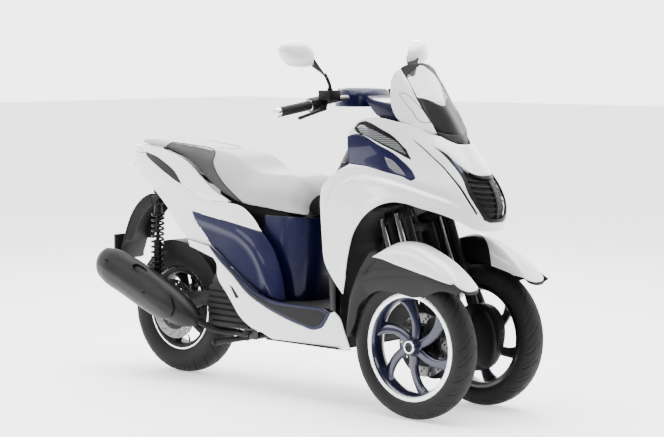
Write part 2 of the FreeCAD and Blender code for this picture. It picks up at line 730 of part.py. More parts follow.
# Inner shield in front of the rider's legs and the lining behind the front wheels

STEM_ROOM = 34
CLAMP_ROOM = 41
SHIELD_LEVELS = [
    (345, [(-386, 0), (-384, 110), (-374, 190), (-352, 226), (-318, 234)]),
    (500, [(-396, 0), (-392, 110), (-380, 190), (-364, 226), (-330, 236)]),
    (640, [(-406, 0), (-400, 100), (-388, 186), (-378, 222), (-350, 234)]),
    (776, [(-412, 0), (-402, 96), (-388, 180), (-378, 216), (-350, 226)]),
    (880, [(-384, 0), (-370, 96), (-340, 172), (-304, 200), (-262, 208)]),
    (955, [(-352, 0), (-338, 88), (-306, 154), (-280, 180), (-250, 190)]),
    (1004, [(-334, 0), (-322, 80), (-296, 140), (-268, 164), (-236, 172)]),
]
shield_outer = hull(SHIELD_LEVELS, -210)
shield_cavity = hull(SHIELD_LEVELS, -180, WALL)
shield_roof = block(-420, -210, -200, 200, 1000, 1004).common(shield_outer)
HOUSE = [(-322, 214), (-322, 470), (-302, 580), (-250, 668), (-170, 712)]
lining = prism([HOUSE, [(-170, 712), (-172, 716)], [(-172, 716), (-254, 673), (-307, 583), (-327, 470), (-327, 214)],
                [(-327, 214), (-322, 214)]], -205, 205)
lining = main_solid(lining.cut(frame))
wheel_space = prism([HOUSE, [(-170, 712), (-90, 712)], [(-90, 712), (-90, 180)], [(-90, 180), (-322, 180)],
                     [(-322, 180), (-322, 214)]])
shield = fuse([shield_outer.cut(shield_cavity), shield_roof]).cut(cowl_shell).cut(frame).cut(lining)
shield = shield.cut(wheel_space)
shield = shield.cut(along_steer(900, 1100, STEM_ROOM))
shield = main_solid(shield)
dash = dash.cut(shield).cut(frame).cut(along_steer(900, 1100, STEM_ROOM))

# Meter panel stands on the dash panel behind the screen

meter_solid = prism([[(-130, 1000), (-128, 1040), (-215, 1072), (-288, 1092)], [(-288, 1092), (-294, 1078)],
                     [(-294, 1078), (-262, 1040), (-240, 1020)], [(-240, 1020), (-215, 1000)],
                     [(-215, 1000), (-130, 1000)]], -104, 104)
meter_panel = meter_solid.cut(dash_top).common(prism([[(-400, 1069), (60, 926)], [(60, 926), (60, 1200)],
                                                      [(60, 1200), (-400, 1200)], [(-400, 1200), (-400, 1069)]]))
meter_panel = meter_panel.cut(shield).cut(cowl_body).cut(along_steer(900, 1100, CLAMP_ROOM))

# Rear body levels shared by the tail, the side panels and the grab rail

TAIL_LEVELS = [
    (345, [(-1540, 0), (-1520, 50), (-1400, 110), (-1200, 156), (-1000, 184), (-860, 190), (-740, 190),
           (-650, 186), (-604, 168)]),
    (440, [(-1550, 0), (-1530, 50), (-1400, 108), (-1200, 150), (-1000, 178), (-860, 186), (-740, 184),
           (-660, 172), (-604, 148)]),
    (530, [(-1556, 0), (-1536, 50), (-1400, 105), (-1200, 144), (-1000, 167), (-860, 176), (-740, 170),
           (-670, 156), (-604, 136)]),
    (610, [(-1562, 0), (-1541, 50), (-1400, 104), (-1200, 140), (-1000, 158), (-860, 164), (-740, 158),
           (-670, 146), (-604, 132)]),
    (700, [(-1568, 0), (-1546, 50), (-1400, 106), (-1200, 138), (-1000, 153), (-860, 156), (-740, 150),
           (-670, 142), (-604, 130)]),
    (790, [(-1574, 0), (-1552, 48), (-1420, 98), (-1200, 136), (-1000, 151), (-860, 152), (-740, 148),
           (-670, 140), (-604, 128)]),
    (845, [(-1578, 0), (-1556, 44), (-1440, 88), (-1240, 126), (-1000, 149), (-860, 150), (-740, 146),
           (-670, 138), (-604, 126)]),
    (880, [(-1574, 0), (-1552, 40), (-1450, 78), (-1250, 116), (-1000, 146), (-860, 148), (-740, 144),
           (-670, 136), (-604, 124)]),
]
tail_outer = hull(TAIL_LEVELS, -560)
tail_cavity = hull(TAIL_LEVELS, -530, WALL)
tail_shell = tail_outer.cut(tail_cavity)
rail_shell = tail_outer.cut(hull(TAIL_LEVELS, -530, 18))

# Space kept free for the seat, and the pan under it
SEAT_BASE = [(-1330, 880), (-1175, 838), (-1084, 782), (-1015, 738), (-926, 701), (-854, 686), (-757, 677),
             (-671, 667), (-572, 657), (-540, 654)]
PAN = 5
gap = mm("seat_gap")


def seat_line(drop):
    return [(x, z - drop) for x, z in SEAT_BASE]


def straight(points):
    """Straight runs from point to point."""
    return [[start, end] for start, end in zip(points, points[1:])]


seat_space = prism(straight([(-540, 960), (-1334, 960), (-1334, 880 - PAN - gap)] + seat_line(PAN + gap)[1:]
                            + [(-540, 960)]))
TAIL_SIDE = [
    [(-1600, 852), (-1500, 852), (-1435, 847), (-1379, 823), (-1285, 785), (-1214, 756), (-1106, 714), (-1005, 690),
     (-926, 690)],
    [(-926, 690), (-854, 678), (-788, 636), (-747, 591)],
    [(-747, 591), (-850, 608), (-969, 625), (-1128, 646)],
    [(-1128, 646), (-1120, 632), (-1007, 526)],
    [(-1007, 526), (-1060, 530), (-1146, 542)],
    [(-1146, 542), (-1199, 576), (-1276, 648), (-1397, 729), (-1470, 764)],
    [(-1470, 764), (-1500, 800), (-1600, 806)],
    [(-1600, 806), (-1600, 852)],
]
RAIL_SIDE = [
    [(-1600, 879), (-1502, 876), (-1330, 874)],
    [(-1330, 874), (-1175, 834), (-1084, 778), (-1015, 734), (-926, 697)],
    [(-926, 697), (-926, 690.5)],
    [(-926, 690.5), (-1005, 694), (-1106, 718), (-1203, 755), (-1252, 795), (-1329, 829), (-1435, 852.5)],
    [(-1435, 852.5), (-1600, 852.5)],
    [(-1600, 852.5), (-1600, 879)],
]
PANEL_SIDE = [
    [(-747, 591), (-692, 535), (-652, 465), (-626, 386), (-617, 346)],
    [(-617, 346), (-654, 346), (-729, 364), (-795, 396), (-877, 444), (-945, 487), (-1007, 526)],
    [(-1007, 526), (-1120, 632), (-1128, 646)],
    [(-1128, 646), (-969, 625), (-850, 608), (-747, 591)],
]
tail_skin = tail_shell.cut(seat_space)
tail_cowl = tail_skin.common(prism(TAIL_SIDE))
lamp_space = prism([[(-1600, 806), (-1600, 848)], [(-1600, 848), (-1546, 848)], [(-1546, 848), (-1530, 800)],
                    [(-1530, 800), (-1600, 806)]], -46, 46)
tail_lamp = tail_outer.cut(hull(TAIL_LEVELS, -530, 14)).common(lamp_space)
deck = block(-1600, -1338, -140, 140, 866, 874).common(tail_outer)
grab_rail = fuse([rail_shell.common(prism(RAIL_SIDE)), deck]).cut(seat_space)
CARRIER_HOLE = 3.25
CARRIER_SPAN = 50
for y in (-CARRIER_SPAN / 2, CARRIER_SPAN / 2):
    grab_rail = grab_rail.cut(Part.makeCylinder(CARRIER_HOLE, 60, V(along(-1530), y, above(845))))
tail_cowl = tail_cowl.cut(tail_lamp).cut(grab_rail)
side_panels = tail_shell.common(prism(PANEL_SIDE))

# Pedestal under the front of the seat, standing on the floor board

PED_LEVELS = [
    (345, [(-575, 0), (-580, 70), (-600, 108), (-650, 128), (-760, 132)]),
    (500, [(-560, 0), (-566, 66), (-590, 104), (-645, 126), (-760, 132)]),
    (650, [(-553, 0), (-560, 60), (-580, 98), (-635, 120), (-760, 126)]),
]
pedestal = hull(PED_LEVELS, -765).cut(hull(PED_LEVELS, -790, WALL)).cut(seat_space)
FLOOR_TOP = 345
FLOOR_LOW = 331
floor_board = hull([(FLOOR_LOW, [(-332, 0), (-336, 120), (-350, 180), (-390, 194), (-640, 192), (-790, 184)]),
                    (FLOOR_TOP, [(-332, 0), (-336, 120), (-350, 182), (-390, 197), (-640, 195), (-790, 186)])], -796)
floor_board = floor_board.cut(frame).cut(lining)
side_panels = side_panels.cut(floor_board)

# Lower body: skirts, coloured floor edge and belly pan


def side_slab(sections, wall):
    """Right-hand skin through level sections of (x, half width), with its wall inwards."""
    wires = []
    for z, line in sections:
        outer = [V(along(x), -across(y), above(z)) for x, y in line]
        inner = [p + V(0, wall, 0) for p in reversed(outer)]
        wires.append(Part.Wire([curve(outer), curve([outer[-1], inner[0]]), curve(inner),
                                curve([inner[-1], outer[0]])]))
    return Part.makeLoft(wires, True, True)


LOWER_LEVELS = [
    (190, [(-1145, 160), (-1000, 176), (-800, 194), (-600, 196), (-400, 192), (-230, 192)]),
    (270, [(-1145, 162), (-1000, 184), (-800, 205), (-600, 210), (-400, 212), (-230, 211)]),
    (345, [(-1145, 164), (-1000, 190), (-800, 207), (-600, 211), (-400, 213), (-230, 212)]),
    (430, [(-1145, 164), (-1000, 189), (-800, 203), (-600, 205), (-400, 206), (-230, 206)]),
    (550, [(-1145, 164), (-1000, 182), (-800, 194), (-600, 196), (-400, 196), (-230, 196)]),
]
SKIRT_SIDE = [
    [(-1132, 540), (-1119, 515), (-1040, 498), (-971, 482)],
    [(-971, 482), (-950, 465), (-946, 422), (-879, 346), (-814, 274), (-761, 243), (-705, 229)],
    [(-705, 229), (-660, 211), (-576, 208), (-483, 203), (-387, 202), (-284, 203)],
    [(-284, 203), (-290, 230), (-303, 281), (-322, 322), (-346, 341)],
    [(-346, 341), (-366, 332)],
    [(-366, 332), (-400, 288), (-438, 266), (-511, 277), (-609, 301), (-700, 332), (-781, 369), (-862, 428),
     (-950, 484), (-1000, 524)],
    [(-1000, 524), (-1132, 540)],
]
EDGE_SIDE = [
    [(-366, 332.5), (-400, 288.5), (-438, 266.5), (-511, 277.5), (-609, 301.5), (-700, 332.5), (-781, 369.5),
     (-862, 428.5), (-950, 484.5), (-1000, 524.5)],
    [(-1000, 524.5), (-945, 494), (-877, 452), (-795, 404), (-729, 372), (-654, 352), (-570, 348), (-420, 348)],
    [(-420, 348), (-366, 332.5)],
]
skirt_right = side_slab(LOWER_LEVELS, WALL).common(prism(SKIRT_SIDE))
edge_right = side_slab(LOWER_LEVELS, 14).common(prism(EDGE_SIDE)).cut(floor_board).cut(tail_outer)
edge_right = main_solid(edge_right)
side_skirts = both(skirt_right)
floor_edges = both(edge_right)
lining = main_solid(lining.cut(side_skirts))
belly = side_slab(LOWER_LEVELS, 400).common(prism([
    [(-330, 206), (-345, 212)], [(-345, 212), (-690, 212)], [(-690, 212), (-690, 206)], [(-690, 206), (-330, 206)]]))
belly = belly.fuse(mirrored(belly)).removeSplitter().cut(side_skirts)

# Storage box under the seat, open at its top

BOX_LOW = at(-1046, -98, 498)
BOX_HIGH = at(-645, 98, 740)
BOX_CORNER = 38
storage_body = doc.addObject("PartDesign::Body", "storage_body")
box_long = BOX_HIGH.x - BOX_LOW.x
box_sketch = sketch_on(storage_body, "XY_Plane", [(0.0, f"-98 * Sizes.body_width / {DRAWN_BODY_WIDTH}"),
                                                  (box_long, f"-98 * Sizes.body_width / {DRAWN_BODY_WIDTH}"),
                                                  (box_long, f"98 * Sizes.body_width / {DRAWN_BODY_WIDTH}"),
                                                  (0.0, f"98 * Sizes.body_width / {DRAWN_BODY_WIDTH}")])
box_pad = bound(storage_body.newObject("PartDesign::Pad", "storage_pad"), Profile=box_sketch,
                Length=BOX_HIGH.z - BOX_LOW.z)
doc.recompute()
upright = [f"Edge{i}" for i, edge in enumerate(box_pad.Shape.Edges, start=1)
           if abs(edge.tangentAt(edge.FirstParameter).z) > 0.9]
box_round = bound(storage_body.newObject("PartDesign::Fillet", "storage_corners"), Base=(box_pad, upright),
                  Radius=BOX_CORNER)
doc.recompute()
lid_face = max(range(len(box_round.Shape.Faces)), key=lambda i: box_round.Shape.Faces[i].CenterOfMass.z) + 1
bound(storage_body.newObject("PartDesign::Thickness", "storage_shell"), Base=(box_round, [f"Face{lid_face}"]),
      Value="Sizes.storage_wall", Reversed=True)
storage_body.Placement = FreeCAD.Placement(V(BOX_LOW.x, 0, BOX_LOW.z), FreeCAD.Rotation())
storage_relief = doc.addObject("Part::Feature", "storage_relief")
storage_relief.Shape = Part.makeCompound([seat_space, frame])
storage_box = trimmed("storage_box", storage_body, storage_relief)
doc.recompute()

# Seat cushion with darker side pads, on a hinged pan

SEAT_STATIONS = [
    (-1492, 884, 903, 64, 46), (-1400, 882, 905, 90, 68), (-1330, 880, 900, 106, 82), (-1175, 838, 887, 126, 94),
    (-1084, 782, 878, 137, 102), (-1015, 738, 873, 144, 108), (-926, 701, 850, 149, 110), (-854, 686, 808, 151, 106),
    (-757, 677, 797, 149, 104), (-671, 667, 796, 141, 98), (-610, 661, 778, 126, 82), (-572, 657, 730, 98, 58),
    (-556, 656, 690, 70, 42),
]


def seat_profile(x, low, top, wide, narrow):
    rise = top - low
    half = [(wide - 6, 0.0), (wide, 0.24), ((wide + narrow) / 2 + 4, 0.66), (narrow, 0.9), (narrow * 0.5, 0.985),
            (0.0, 1.0)]
    right = [at(x, -y, low + share * rise) for y, share in half]
    left = [V(p.x, -p.y, p.z) for p in right[-2::-1]]
    return Part.Wire([curve(right + left), curve([left[-1], right[0]])])


seat_solid = Part.makeLoft([seat_profile(*station) for station in SEAT_STATIONS], True, True)
pad_space = prism([[(-1318, 870), (-1290, 897)], [(-1290, 897), (-1180, 886), (-1076, 872)],
                   [(-1076, 872), (-1040, 858), (-1014, 812), (-962, 763), (-858, 690)],
                   [(-858, 690), (-860, 640)], [(-860, 640), (-1318, 640)], [(-1318, 640), (-1318, 870)]])
pads = seat_solid.common(pad_space).cut(block(-1400, -500, -92, 92, 600, 960))
cushion = seat_solid.cut(pads)
HINGE_X = -550
HINGE_Z = 645
PIN = 4
hinge_at = at(HINGE_X, 0, HINGE_Z)


def pin(radius, half):
    return Part.makeCylinder(radius, 2 * half, V(hinge_at.x, -half, hinge_at.z), V(0, 1, 0))


pan = prism(straight(seat_line(-12)[:-2] + [(-566, 669), (-566, 656 - PAN)] + seat_line(PAN)[-3::-1]
                     + [seat_line(-12)[0]]), -98, 98)
lug = prism([[(-620, 664), (-562, 664)], [(-562, 664), (-556, 656)],
             [(-556, 656), (-541, 648), (-546, 637), (-558, 640)],
             [(-558, 640), (-620, 651)], [(-620, 651), (-620, 664)]], -14, 14)
seat_pan = main_solid(fuse([pan, lug]).cut(seat_solid).cut(pin(PIN + 0.4, 40)))
ears = [block(-559, -542, 15, 26, 634, 650), block(-559, -542, -26, -15, 634, 650)]
pedestal = pedestal.cut(block(-590, -520, -15, 15, 622, 700))
pedestal = fuse([pedestal] + ears + [pin(PIN, 26)]).cut(frame)

# Power unit: plain engine block, transmission case, right arm and wheel spindle

ENGINE_SIDE = [[(-1040, 300), (-1046, 400), (-1010, 436)], [(-1010, 436), (-850, 440)],
               [(-850, 440), (-815, 400)], [(-815, 400), (-815, 240)], [(-815, 240), (-850, 214)],
               [(-850, 214), (-1010, 214)], [(-1010, 214), (-1040, 250), (-1040, 300)]]
CASE_SIDE = [[(-830, 230), (-1000, 196), (-1290, 186), (-1372, 206), (-1396, 260), (-1368, 306)],
             [(-1368, 306), (-1200, 330), (-1040, 372), (-830, 380)], [(-830, 380), (-830, 230)]]
ARM_SIDE = [[(-1000, 300), (-1000, 360)], [(-1000, 360), (-1200, 330), (-1330, 330), (-1392, 336)],
            [(-1392, 336), (-1396, 300)], [(-1396, 300), (-1350, 262), (-1330, 222), (-1290, 222)],
            [(-1290, 222), (-1180, 270), (-1000, 300)]]
rear_axle = V(REAR_X, 0, REAR_R)
engine_parts = [prism(ENGINE_SIDE, -112, 112), prism(CASE_SIDE, 76, 146), prism(ARM_SIDE, -86, -74)]
engine_parts.append(Part.makeCylinder(mm("axle_radius"), 168, rear_axle - V(0, 90, 0), V(0, 1, 0)))
engine_parts.append(Part.makeCylinder(20, 10, rear_axle - V(0, 98, 0), V(0, 1, 0)))
SHOCK_LOW = (-1372, 318)
SHOCK_HIGH = (-1362, 664)
eye_y = mm("shock_spacing") / 2 - 13
for low_y, high_y in ((-eye_y - 15, -76), (76, eye_y + 15)):
    engine_parts.append(Part.makeCylinder(8, high_y - low_y, at(SHOCK_LOW[0], 0, SHOCK_LOW[1]) + V(0, low_y, 0),
                                          V(0, 1, 0)))
engine = fuse(engine_parts).cut(frame)
wheel_room = Part.makeCylinder(REAR_R + 8, 140, rear_axle - V(0, 70, 0), V(0, 1, 0))
engine = fuse([engine.cut(wheel_room.cut(Part.makeCylinder(15, 140, rear_axle - V(0, 70, 0), V(0, 1, 0))))])
engine = main_solid(engine)
SHROUD_SIDE = [[(-1036, 372), (-960, 384), (-905, 330)], [(-905, 330), (-830, 226)], [(-830, 226), (-1030, 226)],
               [(-1030, 226), (-1048, 300), (-1036, 372)]]
shroud = prism(SHROUD_SIDE, -146, -112)
for i in range(6):
    shroud = shroud.cut(block(-1060, -800, -147, -138, 240 + i * 22, 248 + i * 22))
shroud = shroud.cut(engine)

# Muffler on the right-hand side

MUFFLER_Y = -178
MUFFLER_STATIONS = [(-1064, 238, 22, 22), (-1118, 256, 50, 40), (-1200, 288, 68, 50), (-1330, 338, 74, 52),
                    (-1450, 384, 72, 52), (-1540, 414, 66, 48), (-1588, 428, 50, 36), (-1600, 432, 34, 24)]
MUFFLER_RUN = V(-536, 0, 194).normalize()
MUFFLER_UP = V(0, 1, 0).cross(MUFFLER_RUN)
RING_POINTS = 12
DRAWN_MUFFLER = 122
MUFFLER_END = 4


def muffler_solid(inset):
    """Solid through the oval stations, drawn in by a wall thickness and shortened at both ends."""
    scale = mm("muffler_diameter") / DRAWN_MUFFLER
    rings = []
    for i, (x, z, tall, wide) in enumerate(MUFFLER_STATIONS):
        centre = V(along(x), MUFFLER_Y, above(z))
        if inset and i in (0, len(MUFFLER_STATIONS) - 1):
            centre += MUFFLER_RUN * (MUFFLER_END if i == 0 else -MUFFLER_END)
        turns = [2 * math.pi * step / RING_POINTS for step in range(RING_POINTS)]
        points = [centre + MUFFLER_UP * ((tall * scale - inset) * math.sin(turn))
                  + V(0, (wide * scale - inset) * math.cos(turn), 0) for turn in turns]
        ring = Part.BSplineCurve()
        ring.interpolate(Points=points, PeriodicFlag=True, Parameters=[float(i) for i in range(RING_POINTS + 1)])
        rings.append(Part.Wire([ring.toShape()]))
    return Part.makeLoft(rings, True, True)


muffler_outer = muffler_solid(0)
muffler_inner = muffler_solid(mm("muffler_wall"))
outlet_from = V(along(-1608), MUFFLER_Y, above(435))
OUTLET_LENGTH = 90
outlet_pipe = Part.makeCylinder(mm("outlet_radius") + mm("muffler_wall") + 1, OUTLET_LENGTH, outlet_from, -MUFFLER_RUN)
outlet_bore = Part.makeCylinder(mm("outlet_radius"), OUTLET_LENGTH, outlet_from, -MUFFLER_RUN)
header = tube([at(-1090, 0, 246) + V(0, MUFFLER_Y, 0), at(-1030, 0, 208) + V(0, -140, 0),
               at(-930, 0, 198) + V(0, -98, 0), at(-890, 0, 198) + V(0, -98, 0),
               at(-880, 0, 226) + V(0, -98, 0)], 12)
hanger_arm = block(-1300, -1240, -140, -84, 268, 300).cut(muffler_outer)
muffler = fuse([muffler_outer.cut(muffler_inner), outlet_pipe.common(muffler_outer), header.cut(muffler_inner),
                hanger_arm])
muffler = main_solid(muffler.cut(outlet_bore).cut(engine).cut(shroud))

# Rear shock absorbers: ribbed spring bodies with an eye at each end


def shock(sign):
    low = at(SHOCK_LOW[0], 0, SHOCK_LOW[1]) + V(0, sign * eye_y, 0)
    high = at(SHOCK_HIGH[0], 0, SHOCK_HIGH[1]) + V(0, sign * eye_y, 0)
    run = high - low
    outer = mm("shock_radius")
    coils = 9
    start = 60.0
    pitch = (run.Length - 110) / coils
    outline = [V(0, 0, 8), V(11, 0, 8), V(11, 0, start), V(outer, 0, start)]
    for i in range(coils):
        base = start + i * pitch
        outline += [V(outer, 0, base + pitch * 0.45), V(outer - 7, 0, base + pitch * 0.6)]
        if i < coils - 1:
            outline += [V(outer - 7, 0, base + pitch * 0.85), V(outer, 0, base + pitch)]
    end = start + coils * pitch
    outline += [V(outer - 7, 0, end), V(12, 0, end), V(12, 0, run.Length - 8), V(0, 0, run.Length - 8), V(0, 0, 8)]
    spring = Part.Face(Part.makePolygon(outline)).revolve(V(0, 0, 0), V(0, 0, 1), 360)
    spring.Placement = FreeCAD.Placement(low, FreeCAD.Rotation(V(0, 0, 1), run))
    eyes = [Part.makeCylinder(15, 22, point - V(0, 11, 0), V(0, 1, 0)) for point in (low, high)]
    return fuse([spring] + eyes).cut(engine)


mount_bar = [tube([at(-1362, 0, 664) + V(0, sign * (eye_y + 14), 0), at(-1362, 0, 664) + V(0, sign * 60, 0),
                   at(-1362, 0, 752) + V(0, sign * 60, 0)], 8) for sign in (-1, 1)]
rail_link = tube([at(-1362, -90, 762), at(-1362, 90, 762)], rail_r)
tail_stay = block(-1372, -1352, -200, 200, 752, 766).common(tail_cavity)
bridge = block(-1470, -1350, -30, 30, 752, 764)
plate_foot = block(-1462, -1440, -30, 30, 690, 764)
frame = fuse([frame, rail_link, tail_stay, bridge, plate_foot] + mount_bar)
pedestal_stay = block(-800, -780, -200, 200, 442, 458).common(tail_cavity).cut(storage_box.Shape)
frame = fuse([frame, pedestal_stay])
shocks = Part.makeCompound([shock(-1).cut(frame), shock(1).cut(frame)])

# Rear guards: a hugger over the rear tyre and a long fender with the plate holder

hugger = Part.makeCylinder(REAR_R + 16, 136, rear_axle - V(0, 68, 0), V(0, 1, 0))
hugger = hugger.cut(Part.makeCylinder(REAR_R + 12, 128, rear_axle - V(0, 64, 0), V(0, 1, 0)))
hugger = hugger.common(prism([[(-1378, 470), (-1360, 560)], [(-1360, 560), (-1030, 560)], [(-1030, 560), (-1030, 340)],
                              [(-1030, 340), (-1120, 352)], [(-1120, 352), (-1240, 446), (-1378, 470)]]))
hugger_foot = block(-1110, -1034, -30, 30, 388, 404).cut(
    Part.makeCylinder(REAR_R + 14, 136, rear_axle - V(0, 68, 0), V(0, 1, 0)))
hugger = fuse([hugger, hugger_foot]).cut(engine)
GUARD = [(-1640, 424), (-1606, 502), (-1564, 596), (-1520, 650), (-1450, 690)]
rear_fender = prism([GUARD, [(-1450, 690), (-1450, 684)],
                     [(-1450, 684), (-1514, 643), (-1557, 592), (-1599, 499), (-1633, 421)],
                     [(-1633, 421), (-1640, 424)]], -62, 62)
rib = prism([[(-1602.5, 500), (-1560.5, 594), (-1517, 646.5), (-1452, 687)], [(-1452, 687), (-1440, 650)],
             [(-1440, 650), (-1500, 600), (-1560, 500)], [(-1560, 500), (-1602.5, 500)]], 56, 60)
PLATE_HOLE = 3.25
PLATE_SPAN = (132, 60)
holder = block(-1647, -1636, -75, 75, 424, 520)
rear_fender = fuse([rear_fender, rib, mirrored(rib), holder]).cut(frame)
for y in (-PLATE_SPAN[0] / 2, PLATE_SPAN[0] / 2):
    for z in (-PLATE_SPAN[1] / 2, PLATE_SPAN[1] / 2):
        rear_fender = rear_fender.cut(Part.makeCylinder(PLATE_HOLE, 40, V(along(-1660), y, above(472) + z), V(1, 0, 0)))

# Centre stand folded under the engine

STAND_X = -870
stand_z = mm("stand_pivot_height")
stand_at = V(along(STAND_X), 0, stand_z)
stand_half = mm("stand_width") / 2
FOLD = math.radians(12)
reach = V(-math.cos(FOLD), 0, -math.sin(FOLD)) * mm("stand_length")
STAND_PIN = 6
stand_parts = []
for sign, side in ((-1, "right"), (1, "left")):
    top = stand_at + V(0, sign * 58, 0)
    foot = stand_at + reach + V(0, sign * stand_half, 0)
    stand_parts.append(rod(f"stand_leg_{side}", "Sizes.stand_tube_radius", top, foot - top, (foot - top).Length))
    stand_parts.append(ball(f"stand_foot_{side}", "Sizes.stand_tube_radius + 3", foot))
brace_at = stand_at + reach * 0.42
stand_parts.append(rod("stand_brace", 8, brace_at - V(0, 66, 0), V(0, 1, 0), 132))
stand_parts.append(rod("stand_boss", 14, stand_at - V(0, 62, 0), V(0, 1, 0), 124))
stand_bore = rod("stand_bore", STAND_PIN + 0.4, stand_at - V(0, 100, 0), V(0, 1, 0), 200)
centre_stand = trimmed("centre_stand", joined("stand_body", stand_parts), stand_bore)
stand_ears = [Part.makeBox(36, 8, 40, V(stand_at.x - 18, y, stand_z - 12)) for y in (-84, 76)]
stand_pin = Part.makeCylinder(STAND_PIN, 168, stand_at - V(0, 84, 0), V(0, 1, 0))
engine = fuse([engine, stand_pin] + stand_ears)
muffler = muffler.cut(engine)

# Steering: stem, handlebar, grips, switchgear, cover and mirrors

BAR = [(-358, 0, 0), (-364, 60, 0), (-392, 120, -1), (-437, 210, -20), (-470, 350, -45)]
bar_z = mm("bar_height")
bar_end = mm("bar_span") / 2


def on_bar(x, y, drop, sign=1):
    return V(along(x), sign * y, bar_z + drop)


def other_side(vector):
    return V(vector.x, -vector.y, vector.z)


WEIGHT_RADIUS = 15
WEIGHT_LENGTH = 13
GRIP_INSET = 15
right_bar = [on_bar(*point, sign=-1) for point in BAR]
last_run = (right_bar[-1] - right_bar[-2]).normalize()
tip = right_bar[-1] + last_run * ((bar_end - BAR[-1][1]) / abs(last_run.y))
bar_points = right_bar[:-1] + [tip]
bar_points = [other_side(point) for point in reversed(bar_points)] + bar_points[1:]
bar_parts = bent_bar("bar", bar_points, "Sizes.bar_radius")
grip_parts = []
for side, end, inwards in (("right", tip, -last_run), ("left", other_side(tip), other_side(-last_run))):
    bar_parts.append(rod(f"bar_weight_{side}", WEIGHT_RADIUS, end, inwards, WEIGHT_LENGTH))
    grip_parts.append(rod(f"grip_{side}", "Sizes.grip_radius", end + inwards * GRIP_INSET, inwards,
                          "Sizes.grip_length"))
handlebar = joined("handlebar", bar_parts)
grip_pair = doc.addObject("Part::Compound", "grip_pair")
grip_pair.Links = grip_parts
grips = trimmed("grips", grip_pair, handlebar)
STEM_LOW = 660
stem_rod = rod("stem_rod", "Sizes.stem_radius", steer_point(STEM_LOW), STEER, (bar_z - 19 - STEM_LOW) / math.cos(RAKE))
stem_clamp = bound(doc.addObject("Part::Box", "stem_clamp"), Length=84, Width=52, Height=18)
stem_clamp.Placement = FreeCAD.Placement(V(along(-384), -26, bar_z - 23), FreeCAD.Rotation())
steering_stem = trimmed("steering_stem", joined("stem_body", [stem_rod, stem_clamp]), handlebar)
doc.recompute()
bar_tube = handlebar.Shape
switch_at = right_bar[3] - last_run * 34
switch = Part.makeCylinder(25, 58, switch_at, last_run)
reservoir = Part.makeBox(52, 58, 34, V(along(-418), -216, bar_z - 6))
perch = tube([on_bar(-430, 206, -20, -1), on_bar(-396, 206, -36, -1)], 9)
lever = tube([on_bar(-396, 202, -36, -1), on_bar(-398, 250, -46, -1), on_bar(-404, 330, -66, -1)], 6)
control = fuse([switch, reservoir, perch, lever]).cut(bar_tube).cut(grips.Shape)
controls = both(control)
COVER_LEVELS = [
    (1052, [(-316, 0), (-320, 40), (-350, 96), (-400, 108), (-446, 92)]),
    (1092, [(-322, 0), (-326, 40), (-354, 94), (-400, 106), (-448, 90)]),
    (1110, [(-334, 0), (-338, 38), (-362, 86), (-400, 98), (-444, 82)]),
    (1118, [(-352, 0), (-356, 34), (-374, 72), (-404, 84), (-436, 70)]),
]
cover_inner = hull(COVER_LEVELS, -456, 3)
cover_inner.translate(V(0, 0, -3))
bar_cover = hull(COVER_LEVELS, -450).cut(cover_inner)
bar_cover.translate(V(0, 0, bar_z - 1083 + (mm("seat_height") - DRAWN_SEAT) * -1))
bar_cover = bar_cover.cut(bar_tube).cut(steering_stem.Shape).cut(controls)
mirror_stem = tube([on_bar(-392, 196, 20, -1), on_bar(-378, 202, 60, -1), on_bar(-380, 225, 88, -1),
                    on_bar(-396, 262, 108, -1), on_bar(-405, 299, 146, -1)], 6)
DRAWN_MIRROR = (118, 86)
MIRROR_RIM = [(-63, -22), (-28, -48), (16, -44), (52, -20), (52, 28), (-8, 21)]
MIRROR_SLICES = [(-430, 0.97), (-426, 1.0), (-414, 0.95), (-400, 0.76), (-392, 0.5), (-389, 0.25)]
MIRROR_CENTRE = (320, 155)
GLASS_STATION = -426
MIRROR_YAW = 20


def mirror_slice(x, size):
    """Rounded outline of the mirror at one station, seen along the machine."""
    wide = size * mm("mirror_width") / DRAWN_MIRROR[0]
    tall = size * mm("mirror_height") / DRAWN_MIRROR[1]
    centre = on_bar(x, MIRROR_CENTRE[0], MIRROR_CENTRE[1], -1)
    points = [centre + V(0, y * wide, -z * tall) for y, z in MIRROR_RIM]
    rim = Part.BSplineCurve()
    rim.interpolate(Points=points, PeriodicFlag=True)
    return Part.Wire([rim.toShape()])


pod = Part.makeLoft([mirror_slice(x, size) for x, size in MIRROR_SLICES], True, True)
glass_plane = along(GLASS_STATION)
glass_side = Part.makeBox(10, 400, 400, V(glass_plane - 10, pod.BoundBox.YMin - 50, pod.BoundBox.ZMin - 50))
shell = pod.cut(glass_side)
glass = pod.common(glass_side)
for part in (shell, glass):
    part.rotate(on_bar(GLASS_STATION, *MIRROR_CENTRE, -1), V(0, 0, 1), -MIRROR_YAW)
mirror_stem = mirror_stem.cut(control).cut(bar_tube)
shell = shell.cut(mirror_stem)
mirror_stems = both(mirror_stem)
mirror_shells = both(shell)
mirror_glasses = both(glass)

black_trim = Part.makeCompound([grille] + slits.Solids)

